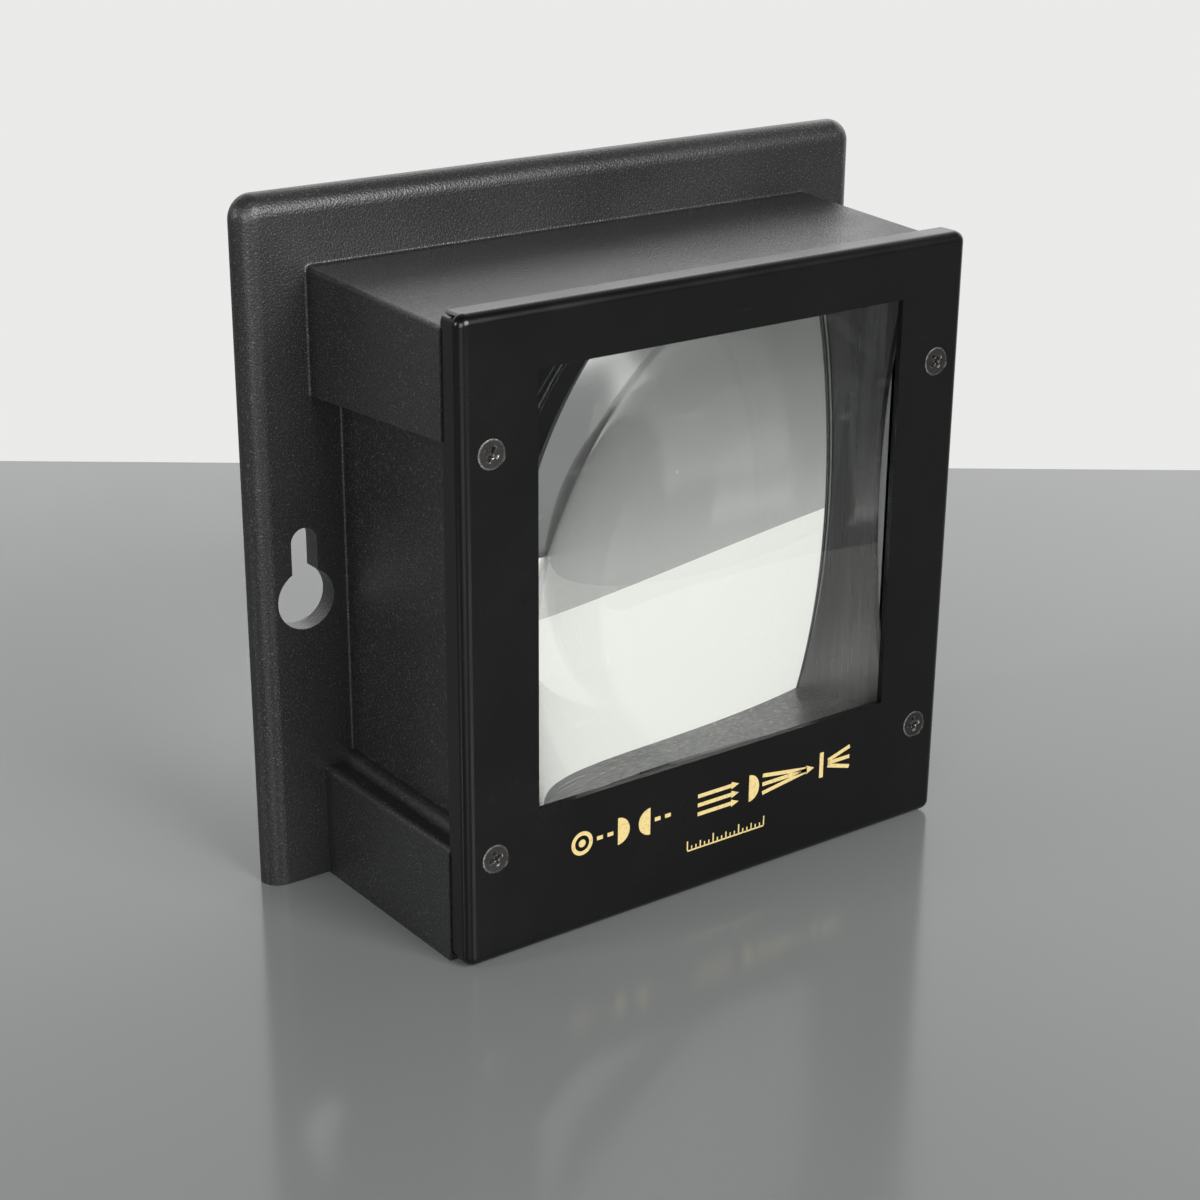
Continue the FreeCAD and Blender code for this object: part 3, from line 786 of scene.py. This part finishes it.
def outward_frame(facing: Facing, across: float, up: float, level: float) -> Matrix:
    """Find a frame whose Z axis points out of the front or rear face.

    Args:
        facing: Which face.
        across: X of its origin.
        up: Z of its origin.
        level: Y of its origin.

    Returns:
        The frame as a matrix.
    """
    turn = Matrix.Rotation(math.radians(-90 * facing.value), 4, "X")
    return Matrix.Translation((across, level, up)) @ turn


def outer_level(facing: Facing, node: str) -> float:
    """Y of the side of a node's box that looks out of the lens box."""
    low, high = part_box(node)
    return low.y if facing is Facing.FRONT else high.y


# Sub-assemblies

@dataclass
class SheetAndMoulding:
    """The housing, the folded front plate, the rear plate and the spacer frame."""

    frame: dict
    moulding: GrainedMoulding = field(default_factory=GrainedMoulding)
    paint: StovedPaint = field(default_factory=StovedPaint)
    spacer: SpacerMoulding = field(default_factory=SpacerMoulding)

    def dress(self) -> None:
        """Give the carried-over nodes their finishes."""
        dress_node(self.frame, "housing", self.moulding.make())
        enamel = self.paint.make()
        for node in ("front_plate", "rear_plate"):
            dress_node(self.frame, node, enamel)
        dress_node(self.frame, "lens_spacer", self.spacer.make())


@dataclass
class FeltAndSprings:
    """Felt frames and strips round the lenses, and the springs above them."""

    frame: dict
    felt: Felt = field(default_factory=Felt)
    spring: Metal = field(default_factory=lambda: Metal(
        "blued_spring", (0.13, 0.14, 0.19), (0.45, 0.46, 0.48),
        marks=Grain(0.25, shift=8.1, stretch=(0.1, 1.0, 1.0))))

    def dress(self) -> None:
        """Give the felt and the springs their finishes."""
        felt = self.felt.make()
        steel = self.spring.make()
        for end in ("front", "rear"):
            dress_node(self.frame, f"{end}_lens_gasket", felt)
            dress_node(self.frame, f"{end}_lens_strips", felt)
            dress_node(self.frame, f"{end}_lens_spring", steel)


@dataclass
class CondenserLens:
    """Square-cut plano-convex lens with its flat face outwards.

    A face counts as optical when more than the given share of its normal lies along the axis.
    """

    facing: Facing
    radius_mm: float = 100.0
    steps: int = 84
    chamfer_mm: float = 0.35
    crisp_degrees: float = 30.0
    sharp_degrees: float = 18.0
    optical_share: float = 0.76

    @property
    def node(self) -> str:
        """Name of the node that the lens stands for."""
        return f"{self.facing.name.lower()}_lens"

    def build(self, glass: bpy.types.Material, edge: bpy.types.Material) -> bpy.types.Object:
        """Make the lens as one closed piece.

        Args:
            glass: Finish of the optical faces.
            edge: Finish of the ground edges.

        Returns:
            The lens.
        """
        shape = bmesh.new()
        self.add_flat(shape, self.add_bulge(shape))
        self.chamfer(shape)
        self.mark_ground(shape)
        piece = add_piece(f"{self.node}_glass", shape, (glass, edge), self.sharp_degrees)
        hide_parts(self.node)
        return piece

    def add_bulge(self, shape: Shape) -> list[list[Vert]]:
        """Add the bulged face, which looks into the lens box.

        Args:
            shape: Shape that takes the faces.

        Returns:
            Its rows of vertices, from the lowest up.
        """
        low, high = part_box(self.node)
        outward = self.facing.value
        apex = high.y if self.facing is Facing.FRONT else low.y
        middle = (low + high) / 2
        radius = self.radius_mm * MM
        ball = apex + outward * radius
        rows = []
        for rise in range(self.steps + 1):
            z = low.z + (high.z - low.z) * rise / self.steps
            row = []
            for run in range(self.steps + 1):
                x = low.x + (high.x - low.x) * run / self.steps
                off = (x - middle.x) ** 2 + (z - middle.z) ** 2
                row.append(shape.verts.new((x, ball - outward * math.sqrt(radius ** 2 - off), z)))
            rows.append(row)
        for lower, upper in zip(rows, rows[1:]):
            for run in range(self.steps):
                shape.faces.new((lower[run], lower[run + 1], upper[run + 1], upper[run]))
        return rows

    def add_flat(self, shape: Shape, rows: list[list[Vert]]) -> None:
        """Close the lens with its ground edges and its flat face.

        Args:
            shape: Shape that takes the faces.
            rows: Rows of vertices of the bulged face.
        """
        level = outer_level(self.facing, self.node)
        rim = rows[0] + [row[-1] for row in rows[1:-1]] + rows[-1][::-1]
        rim += [row[0] for row in reversed(rows[1:-1])]
        base = [shape.verts.new((vert.co.x, level, vert.co.z)) for vert in rim]
        bridge(shape, rim, base)
        cap(shape, base)

    def chamfer(self, shape: Shape) -> None:
        """Break every crisp edge of the glass.

        Args:
            shape: The lens.
        """
        shape.normal_update()
        fold = math.radians(self.crisp_degrees)
        crisp = [edge for edge in shape.edges if edge.calc_face_angle(0.0) > fold]
        bmesh.ops.bevel(shape, geom=crisp, offset=self.chamfer_mm * MM, segments=1,
                        affect="EDGES", clamp_overlap=True)

    def mark_ground(self, shape: Shape) -> None:
        """Give the edge faces the second finish.

        Args:
            shape: The lens.
        """
        shape.normal_update()
        for face in shape.faces:
            face.material_index = 0 if abs(face.normal.y) > self.optical_share else 1


@dataclass(frozen=True)
class CrossRecess:
    """Cross recess of a screw head: two wings that run out upwards and a deeper heart."""

    depth_mm: float = 0.95
    wing_mm: float = 1.50
    wing_half_mm: float = 0.33
    wing_flare: float = 1.15
    wing_narrowing: float = 0.25
    wing_wall_mm: float = 0.14
    wing_end_mm: float = 0.55
    wing_depth: float = 0.85
    heart_mm: float = 0.85
    heart_wall_mm: float = 0.45

    def sink(self, x: float, y: float) -> float:
        """Find how deep the recess is at a point of the head.

        Args:
            x: Distance from the axis along one wing, in millimetres.
            y: Distance from the axis along the other.

        Returns:
            Depth in millimetres, 0 beside the recess.
        """
        wings = 0.0
        for along, across in ((abs(x), abs(y)), (abs(y), abs(x))):
            half = self.wing_half_mm * (self.wing_flare - self.wing_narrowing * along / self.wing_mm)
            wall = smooth_step((half + self.wing_wall_mm / 2 - across) / self.wing_wall_mm)
            end = smooth_step((self.wing_mm - along) / self.wing_end_mm)
            wings = max(wings, wall * end)
        heart = smooth_step((self.heart_mm - math.hypot(x, y)) / self.heart_wall_mm)
        return self.depth_mm * max(wings * self.wing_depth, heart)


@dataclass
class CrossHeadScrews:
    """Countersunk cross-recess screws of one plate."""

    facing: Facing
    recess: CrossRecess = CrossRecess()
    seat_mm: float = 2.75
    head_mm: float = 2.62
    sunk_mm: float = 0.06
    rim_mm: float = 0.25
    rim_drop_mm: float = 0.05
    shank_mm: float = 1.46
    core_mm: float = 1.20
    neck_mm: float = 0.05
    first_turn_mm: float = 0.3
    plain_mm: float = 0.5
    last_turn_mm: float = 0.5
    tip_gap_mm: float = 0.1
    tip_share: float = 0.8
    pitch_mm: float = 0.5
    turn_steps: int = 8
    rings: int = 30
    sides: int = 96
    turns: tuple[float, ...] = (0.35, 1.1, 0.12, 0.62)
    lip_share: float = 0.45
    lip_wear: float = 0.85
    rim_wear: float = 0.7
    rim_wear_mm: float = 0.40
    rim_fade_mm: float = 0.3
    sharp_degrees: float = 30.0

    @property
    def node(self) -> str:
        """Name of the node that the screws stand for."""
        return f"{self.facing.name.lower()}_plate_screws"

    @property
    def taper_mm(self) -> float:
        """Height of the countersink."""
        return self.head_mm - self.shank_mm

    def places(self) -> list[Point2]:
        """Find the screw axes from the corners of the node's box.

        Returns:
            Their pairs of X and Z.
        """
        low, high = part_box(self.node)
        reach = self.seat_mm * MM
        return [(x, z) for x in (low.x + reach, high.x - reach) for z in (low.z + reach, high.z - reach)]

    def thread(self, radius: float, along: float, angle: float) -> float:
        """Cut the thread into the shank; the head and the neck keep their radius.

        Args:
            radius: Radius of the blank.
            along: Distance along the axis, negative below the head.
            angle: Angle round the axis.

        Returns:
            The radius there.
        """
        if -along / MM < self.taper_mm + self.plain_mm:
            return radius
        phase = (along / MM / self.pitch_mm + angle / math.tau) % 1.0
        return radius - (self.shank_mm - self.core_mm) * MM * abs(2 * phase - 1)

    def rubbing(self, radius: float, sink: float) -> float:
        """Find how far a point of the head is rubbed bare.

        Args:
            radius: Distance from the axis in millimetres.
            sink: Depth of the recess there.

        Returns:
            0 for whole blacking, 1 for bare steel.
        """
        on_lip = 0.0 < sink < self.recess.depth_mm * self.lip_share
        rim = smooth_step((radius - self.head_mm + self.rim_wear_mm) / self.rim_fade_mm)
        return max(self.lip_wear if on_lip else 0.0, rim * self.rim_wear)

    def build(self, steel: bpy.types.Material) -> bpy.types.Object:
        """Make the four screws as one piece.

        Args:
            steel: Their finish.

        Returns:
            The screws.
        """
        low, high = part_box(self.node)
        length = (high.y - low.y) / MM
        level = outer_level(self.facing, self.node) - self.facing.value * self.sunk_mm * MM
        shape = bmesh.new()
        wear = shape.verts.layers.float.new("wear")
        for (across, up), turn in zip(self.places(), self.turns):
            place = outward_frame(self.facing, across, up, level) @ Matrix.Rotation(turn, 4, "Z")
            self.add_shank(shape, self.add_head(shape, wear, place), place, length)
        piece = add_piece(f"{self.node}_steel", shape, (steel,), self.sharp_degrees)
        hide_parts(self.node)
        return piece

    def add_head(self, shape: Shape, wear: bmesh.types.BMLayerItem, place: Matrix) -> list[Vert]:
        """Add the recessed face of one head, with its rubbed edges.

        Args:
            shape: Shape that takes the faces.
            wear: Layer for the rubbed edges.
            place: Frame of the head's face, Z outwards.

        Returns:
            Its outer ring of vertices.
        """
        rings = []
        for number in range(1, self.rings + 1):
            radius = self.head_mm * number / self.rings
            drop = self.rim_drop_mm * smooth_step((radius - self.head_mm + self.rim_mm) / self.rim_mm)
            ring = []
            for step in range(self.sides):
                angle = math.tau * step / self.sides
                x, y = radius * math.cos(angle), radius * math.sin(angle)
                sink = self.recess.sink(x, y)
                vert = shape.verts.new(place @ Vector((x * MM, y * MM, -(sink + drop) * MM)))
                vert[wear] = self.rubbing(radius, sink)
                ring.append(vert)
            rings.append(ring)
        for first, second in zip(rings, rings[1:]):
            bridge(shape, first, second)
        cap(shape, rings[0])
        return rings[-1]

    def add_shank(self, shape: Shape, rim: list[Vert], place: Matrix, length_mm: float) -> None:
        """Add the countersink and the threaded shank of one screw.

        Args:
            shape: Shape that takes the faces.
            rim: Outer ring of the head's face.
            place: Frame of the head's face, Z outwards.
            length_mm: Length over the head.
        """
        profile = [(self.shank_mm, -self.taper_mm - self.neck_mm)]
        depth = self.taper_mm + self.first_turn_mm
        while depth < length_mm - self.last_turn_mm:
            profile.append((self.shank_mm, -depth))
            depth += self.pitch_mm / self.turn_steps
        profile.append((self.core_mm * self.tip_share, -(length_mm - self.tip_gap_mm)))
        sized = [(radius * MM, along * MM) for radius, along in profile]
        rings = lathe(shape, sized, self.sides, place, self.thread)
        bridge(shape, rim, rings[0])
        cap(shape, rings[-1])


@dataclass
class KnurledInserts:
    """Brass bushes that take the screws of one plate.

    The groove's numbers are shares of the depth where it begins, reaches its floor, leaves it and ends.
    """

    facing: Facing
    outer_mm: float = 2.1
    bore_mm: float = 1.58
    bore_wall_mm: float = 0.2
    edge_mm: float = 0.15
    groove: tuple[float, ...] = (0.40, 0.45, 0.55, 0.60)
    knurl_mm: float = 0.07
    teeth: int = 24
    sides: int = 144
    weld: float = 1e-7
    sharp_degrees: float = 25.0

    @property
    def node(self) -> str:
        """Name of the node that the bushes stand for."""
        return f"{self.facing.name.lower()}_screw_inserts"

    def knurl(self, radius: float, along: float, angle: float) -> float:
        """Cut the knurl into the outside; the bore stays round.

        Args:
            radius: Radius of the blank.
            along: Distance along the axis; the knurl is the same all along it.
            angle: Angle round the axis.

        Returns:
            The radius there.
        """
        if radius < (self.bore_mm + self.bore_wall_mm) * MM:
            return radius
        return radius - self.knurl_mm * MM * (0.5 - 0.5 * math.cos(self.teeth * angle))

    def profile(self, depth: float) -> list[Point2]:
        """Draw the closed section of one bush.

        Args:
            depth: Its length in metres.

        Returns:
            Pairs of radius and distance along the axis.
        """
        reach, bore, edge = self.outer_mm * MM, self.bore_mm * MM, self.edge_mm * MM
        waist = reach - 2 * self.knurl_mm * MM
        begin, floor, leave, end = (-depth * share for share in self.groove)
        return [(bore, 0), (reach - edge, 0), (reach, -edge), (reach, begin), (waist, floor),
                (waist, leave), (reach, end), (reach, -depth + edge), (reach - edge, -depth),
                (bore, -depth), (bore, 0)]

    def build(self, brass: bpy.types.Material) -> bpy.types.Object:
        """Make the four bushes as one piece.

        Args:
            brass: Their finish.

        Returns:
            The bushes.
        """
        low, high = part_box(self.node)
        level = outer_level(self.facing, self.node)
        reach = self.outer_mm * MM
        profile = self.profile(high.y - low.y)
        shape = bmesh.new()
        for across in (low.x + reach, high.x - reach):
            for up in (low.z + reach, high.z - reach):
                place = outward_frame(self.facing, across, up, level)
                lathe(shape, profile, self.sides, place, self.knurl)
        bmesh.ops.remove_doubles(shape, verts=shape.verts, dist=self.weld)
        piece = add_piece(f"{self.node}_brass", shape, (brass,), self.sharp_degrees)
        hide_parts(self.node)
        return piece


@dataclass
class PrintedMarks:
    """Generic gold marks below the front window: how the lenses gather light.

    Names that end in x or z are places on the plate, and spans run along X. All are in millimetres.
    """

    proud_mm: float = 0.012
    sunk_mm: float = 0.02
    stroke_mm: float = 0.78
    base_z: float = 15.1
    tall_mm: float = 5.5
    bow_steps: int = 24
    sharp_degrees: float = 30.0
    ring_x: float = -30.4
    ring_mm: float = 2.3
    dot_mm: float = 0.75
    dot_steps: int = 20
    pair_x: Point2 = (-22.6, -15.4)
    pair_bulge_mm: float = 2.6
    pair_inset_mm: float = 0.1
    dash_x: tuple[float, ...] = (-27.2, -24.9, -14.4, -12.1)
    dash_mm: float = 1.3
    ray_rises: tuple[float, ...] = (-1.8, 0.0, 1.8)
    ray_span: Point2 = (-4.6, 3.2)
    arrow_span: Point2 = (3.2, 5.0)
    arrow_half_mm: float = 0.75
    single_x: float = 7.4
    single_bulge_mm: float = 2.4
    single_half_mm: float = 2.7
    bent_span: Point2 = (10.6, 21.4)
    bent_share: float = 0.12
    point_span: Point2 = (21.2, 23.2)
    point_half_mm: float = 0.9
    gate_x: float = 25.0
    gate_half_mm: float = 2.6
    gate_stroke_mm: float = 0.95
    spread_rises: tuple[float, ...] = (-2.1, 0.0, 2.1)
    spread_span: Point2 = (26.6, 32.0)
    spread_share: float = 0.25
    rule_span: Point2 = (-6.8, 11.2)
    rule_z: float = 9.2
    rule_stroke_mm: float = 0.3
    tick_z: float = 9.3
    tick_stroke_mm: float = 0.28
    tick_count: int = 19
    tick_tall_mm: Triple = (1.9, 1.3, 0.8)

    @property
    def middle_z(self) -> float:
        """Level of the optical axis in the drawing."""
        return self.base_z + self.tall_mm / 2

    def build(self, gold: bpy.types.Material) -> bpy.types.Object:
        """Make all marks as one thin piece.

        Args:
            gold: The ink.

        Returns:
            The marks.
        """
        shape = bmesh.new()
        for outline in (*self.dotted_ring(), *self.lens_pair(), *self.ray_fan(), *self.rule()):
            self.print_outline(shape, outline)
        return add_piece("front_printed_marks", shape, (gold,), self.sharp_degrees)

    def print_outline(self, shape: Shape, outline: Outline) -> None:
        """Lay one filled outline on the plate.

        Args:
            shape: Shape that takes the faces.
            outline: Corners as pairs of X and Z.
        """
        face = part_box("front_plate")[0].y
        upper, lower = face - self.proud_mm * MM, face + self.sunk_mm * MM
        front = [shape.verts.new((x * MM, upper, z * MM)) for x, z in outline]
        back = [shape.verts.new((x * MM, lower, z * MM)) for x, z in outline]
        cap(shape, front)
        cap(shape, back[::-1])
        bridge(shape, back, front)

    def bar(self, start: Point2, end: Point2, width: float) -> Outline:
        """Draw a straight stroke between two points.

        Args:
            start: First end.
            end: Second end.
            width: Width of the stroke.

        Returns:
            Its outline.
        """
        run = Vector((end[0] - start[0], end[1] - start[1])).normalized() * width / 2
        side = Vector((-run.y, run.x))
        return [(start[0] + side.x, start[1] + side.y), (start[0] - side.x, start[1] - side.y),
                (end[0] - side.x, end[1] - side.y), (end[0] + side.x, end[1] + side.y)]

    def arrow_head(self, span: Point2, level: float, half: float) -> Outline:
        """Draw a triangle that points to the right.

        Args:
            span: Where its foot and its tip stand.
            level: Level of its tip.
            half: Half its height.

        Returns:
            Its outline.
        """
        foot, tip = span
        return [(foot, level - half), (tip, level), (foot, level + half)]

    def arc(self, centre: Point2, reach: Point2, begin: float, end: float, steps: int) -> Outline:
        """Draw points along an arc.

        Args:
            centre: Its centre.
            reach: Its radius along X and along Z.
            begin: Where it begins, in turns.
            end: Where it ends, in turns.
            steps: Number of steps along it.

        Returns:
            The points, with both ends.
        """
        angles = [math.tau * (begin + (end - begin) * step / steps) for step in range(steps + 1)]
        return [(centre[0] + reach[0] * math.cos(angle), centre[1] + reach[1] * math.sin(angle))
                for angle in angles]

    def lens_section(self, flat_x: float, bulge: float, half: float) -> Outline:
        """Draw the section of a plano-convex lens on the axis.

        Args:
            flat_x: Where its flat side stands.
            bulge: How far it bulges, negative to the left.
            half: Half its height.

        Returns:
            Its outline.
        """
        return self.arc((flat_x, self.middle_z), (bulge, half), -0.25, 0.25, self.bow_steps)

    def dotted_ring(self) -> list[Outline]:
        """Draw a ring with a dot, the end view of the axis.

        Returns:
            Two half rings and the dot, so that each outline is simple.
        """
        centre = (self.ring_x, self.middle_z)
        outlines = []
        for begin in (0.0, 0.5):
            outer, inner = (self.arc(centre, (reach, reach), begin, begin + 0.5, self.bow_steps)
                            for reach in (self.ring_mm, self.ring_mm - self.stroke_mm))
            outlines.append(outer + inner[::-1])
        dot = self.arc(centre, (self.dot_mm, self.dot_mm), 0.0, 1.0, self.dot_steps)
        outlines.append(dot[:-1])
        return outlines

    def lens_pair(self) -> list[Outline]:
        """Draw two lens sections face to face on a broken axis line.

        Returns:
            Their outlines and the dashes'.
        """
        half = self.tall_mm / 2 - self.pair_inset_mm
        outlines = [self.lens_section(self.pair_x[0], self.pair_bulge_mm, half),
                    self.lens_section(self.pair_x[1], -self.pair_bulge_mm, half)]
        for start in self.dash_x:
            end = (start + self.dash_mm, self.middle_z)
            outlines.append(self.bar((start, self.middle_z), end, self.stroke_mm))
        return outlines

    def ray_fan(self) -> list[Outline]:
        """Draw rays that a lens bends to one point, and their spread behind a gate.

        Returns:
            The outlines.
        """
        outlines = []
        for rise in self.ray_rises:
            level = self.middle_z + rise
            start, end = self.ray_span
            outlines.append(self.bar((start, level), (end, level), self.stroke_mm))
            outlines.append(self.arrow_head(self.arrow_span, level, self.arrow_half_mm))
        outlines.append(self.lens_section(self.single_x, self.single_bulge_mm, self.single_half_mm))
        outlines += self.slanted_rays(self.ray_rises, self.bent_span, (1.0, self.bent_share))
        outlines.append(self.arrow_head(self.point_span, self.middle_z, self.point_half_mm))
        foot, top = self.middle_z - self.gate_half_mm, self.middle_z + self.gate_half_mm
        outlines.append(self.bar((self.gate_x, foot), (self.gate_x, top), self.gate_stroke_mm))
        outlines += self.slanted_rays(self.spread_rises, self.spread_span, (self.spread_share, 1.0))
        return outlines

    def slanted_rays(self, rises: Sequence[float], span: Point2, shares: Point2) -> list[Outline]:
        """Draw rays that draw together or spread.

        Args:
            rises: Heights of the rays over the axis.
            span: Where they begin and end.
            shares: Share of the height that each ray has at both ends.

        Returns:
            Their outlines.
        """
        return [self.bar((span[0], self.middle_z + rise * shares[0]),
                         (span[1], self.middle_z + rise * shares[1]), self.stroke_mm) for rise in rises]

    def rule(self) -> list[Outline]:
        """Draw a small graduated rule under the rays.

        Returns:
            Its line and its ticks, a millimetre apart.
        """
        start, end = self.rule_span
        outlines = [self.bar((start, self.rule_z), (end, self.rule_z), self.rule_stroke_mm)]
        sixth, third, single = self.tick_tall_mm
        for tick in range(self.tick_count):
            tall = sixth if tick % 6 == 0 else (third if tick % 3 == 0 else single)
            foot, top = (start + tick, self.tick_z), (start + tick, self.tick_z + tall)
            outlines.append(self.bar(foot, top, self.tick_stroke_mm))
        return outlines


def outward(azimuth: float, elevation: float) -> Vector:
    """Find the direction from the box to a place round it.

    Args:
        azimuth: Degrees round the box from its front.
        elevation: Degrees above the horizon.

    Returns:
        The direction, of length one.
    """
    a, e = math.radians(azimuth), math.radians(elevation)
    return Vector((math.sin(a) * math.cos(e), -math.cos(a) * math.cos(e), math.sin(e)))


@dataclass(frozen=True)
class SoftLight:
    """Square soft light that looks at the box and isn't seen through its glass.

    Turn is counted in degrees from the camera's side, and lengths are in metres.
    """

    name: str
    turn: float
    elevation: float
    distance: float
    size: float
    power: float
    aim: Triple = (0.0, 0.0, 0.06)

    def build(self, azimuth: float) -> None:
        """Set the light up.

        Args:
            azimuth: Where the camera stands round the box, in degrees.
        """
        away = outward(azimuth + self.turn, self.elevation)
        data = bpy.data.lights.new(self.name, "AREA")
        data.size = self.size
        data.energy = self.power
        lamp = bpy.data.objects.new(self.name, data)
        lamp.location = away * self.distance + Vector(self.aim)
        lamp.rotation_mode = "QUATERNION"
        lamp.rotation_quaternion = (-away).to_track_quat("-Z", "Y")
        lamp.visible_transmission = False
        bpy.context.scene.collection.objects.link(lamp)
        LOG.info("%s: %.1f W", self.name, self.power)


@dataclass
class Studio:
    """Table, soft light and camera; lengths are in metres and angles in degrees."""

    lens_mm: float = 70.244
    sensor_mm: float = 36.0
    near_clip: float = 0.01
    azimuth: float = -36.148
    elevation: float = 21.436
    roll: float = 0.442
    eye: Triple = (-0.24444, -0.32275, 0.20771)
    far_edge: float = 0.230
    near_edge: float = 1.6
    half_width: float = 2.0
    slab: float = 0.008
    edge_radius: float = 0.0012
    edge_steps: int = 3
    white: Triple = (0.995, 1.0, 0.985)
    wall_light: float = 0.83
    wall_through: float = 0.96
    wall_span: Point2 = (0.20, 0.70)
    wall_glow: Point2 = (0.14, 1.20)
    roof_span: Point2 = (0.50, 0.72)
    roof_glow: Point2 = (1.0, 0.25)
    rise_span: Point2 = (0.14, 0.30)
    rise_glow: Point2 = (1.0, 2.15)
    lights: tuple[SoftLight, ...] = (
        SoftLight("front_softbox", 44.0, 28.0, 1.15, 0.60, 16.0),
        SoftLight("low_front_lamp", -8.0, 18.0, 1.0, 0.50, 5.0),
        SoftLight("low_side_lamp", -66.0, 20.0, 1.0, 0.20, 2.1),
    )
    table: TableTop = field(default_factory=TableTop)

    def build(self) -> None:
        """Set the table, the light and the camera."""
        self.set_table()
        self.set_world()
        for light in self.lights:
            light.build(self.azimuth)
        self.set_camera()

    def set_table(self) -> None:
        """Slab of table top whose far edge lies a little behind the box."""
        turn = Matrix.Rotation(math.radians(self.azimuth), 4, "Z")
        shape = bmesh.new()
        outline = [(-self.half_width, -self.near_edge), (self.half_width, -self.near_edge),
                   (self.half_width, self.far_edge), (-self.half_width, self.far_edge)]
        upper = [shape.verts.new(turn @ Vector((x, y, 0.0))) for x, y in outline]
        lower = [shape.verts.new(turn @ Vector((x, y, -self.slab))) for x, y in outline]
        cap(shape, upper)
        cap(shape, lower[::-1])
        bridge(shape, lower, upper)
        bmesh.ops.bevel(shape, geom=list(shape.edges), offset=self.edge_radius,
                        segments=self.edge_steps, affect="EDGES")
        bmesh.ops.recalc_face_normals(shape, faces=shape.faces)
        mesh = bpy.data.meshes.new("table_top")
        shape.to_mesh(mesh)
        shape.free()
        mesh.materials.append(self.table.make())
        table = bpy.data.objects.new("table_top", mesh)
        bpy.context.scene.collection.objects.link(table)
        LOG.info("table_top: %d faces", len(mesh.polygons))

    def set_world(self) -> None:
        """White wall behind the box, dim ceiling and room in front; the eye sees plain white."""
        world = bpy.data.worlds.new("studio")
        world.use_nodes = True
        bench = NodeBench(world.node_tree, "ShaderNodeOutputWorld", "Generated")
        a = math.radians(self.azimuth)
        away = bench.add("ShaderNodeVectorMath", operation="DOT_PRODUCT")
        away.inputs[1].default_value = (-math.sin(a), math.cos(a), 0.0)
        bench.join(bench.place, away.inputs[0])
        height = bench.add("ShaderNodeSeparateXYZ")
        bench.join(bench.place, height.inputs[0])
        wall = bench.levels(away.outputs["Value"], self.wall_span, self.wall_glow)
        roof = bench.levels(height.outputs["Z"], self.roof_span, self.roof_glow)
        rise = bench.levels(height.outputs["Z"], self.rise_span, self.rise_glow)
        lit = bench.add("ShaderNodeBackground")
        glow = bench.blend_values("MULTIPLY", bench.blend_values("MULTIPLY", wall, roof), rise)
        bench.join(glow, lit.inputs["Strength"])
        path = bench.add("ShaderNodeLightPath")
        through = path.outputs["Is Transmission Ray"]
        plain = bench.add("ShaderNodeBackground")
        plain.inputs["Color"].default_value = (*self.white, 1.0)
        seen_light = bench.levels(through, RISING, (self.wall_light, self.wall_through))
        bench.join(seen_light, plain.inputs["Strength"])
        seen = bench.blend_values("MAXIMUM", path.outputs["Is Camera Ray"], through)
        bench.choose(seen, lit, plain)
        bpy.context.scene.world = world
        bpy.context.scene.view_settings.view_transform = "Standard"

    def set_camera(self) -> None:
        """Camera in front of the box, a little above it and to its left."""
        a, roll = math.radians(self.azimuth), math.radians(self.roll)
        back = outward(self.azimuth, self.elevation)
        level = Vector((math.cos(a), math.sin(a), 0.0))
        upright = back.cross(level)
        right = math.cos(roll) * level + math.sin(roll) * upright
        up = math.cos(roll) * upright - math.sin(roll) * level
        data = bpy.data.cameras.new("camera")
        data.lens = self.lens_mm
        data.sensor_width = self.sensor_mm
        data.clip_start = self.near_clip
        camera = bpy.data.objects.new("camera", data)
        spin = Matrix((right, up, back)).transposed().to_4x4()
        camera.matrix_world = Matrix.Translation(self.eye) @ spin
        bpy.context.scene.collection.objects.link(camera)
        bpy.context.scene.camera = camera


def main() -> None:
    """Dress the box, make its finer pieces and set the studio."""
    logging.basicConfig(level=logging.INFO)
    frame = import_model()
    SheetAndMoulding(frame).dress()
    FeltAndSprings(frame).dress()
    glass, edge = PolishedGlass().make(), GroundGlass().make()
    steel = Metal("blackened_steel", (0.13, 0.125, 0.12), (0.58, 0.57, 0.55)).make()
    brass = Metal("turned_brass", (0.62, 0.43, 0.18), (0.85, 0.66, 0.35)).make()
    for facing in Facing:
        CondenserLens(facing).build(glass, edge)
        CrossHeadScrews(facing).build(steel)
        KnurledInserts(facing).build(brass)
    PrintedMarks().build(GoldInk().make())
    Studio().build()


if __name__ == "__main__":
    main()
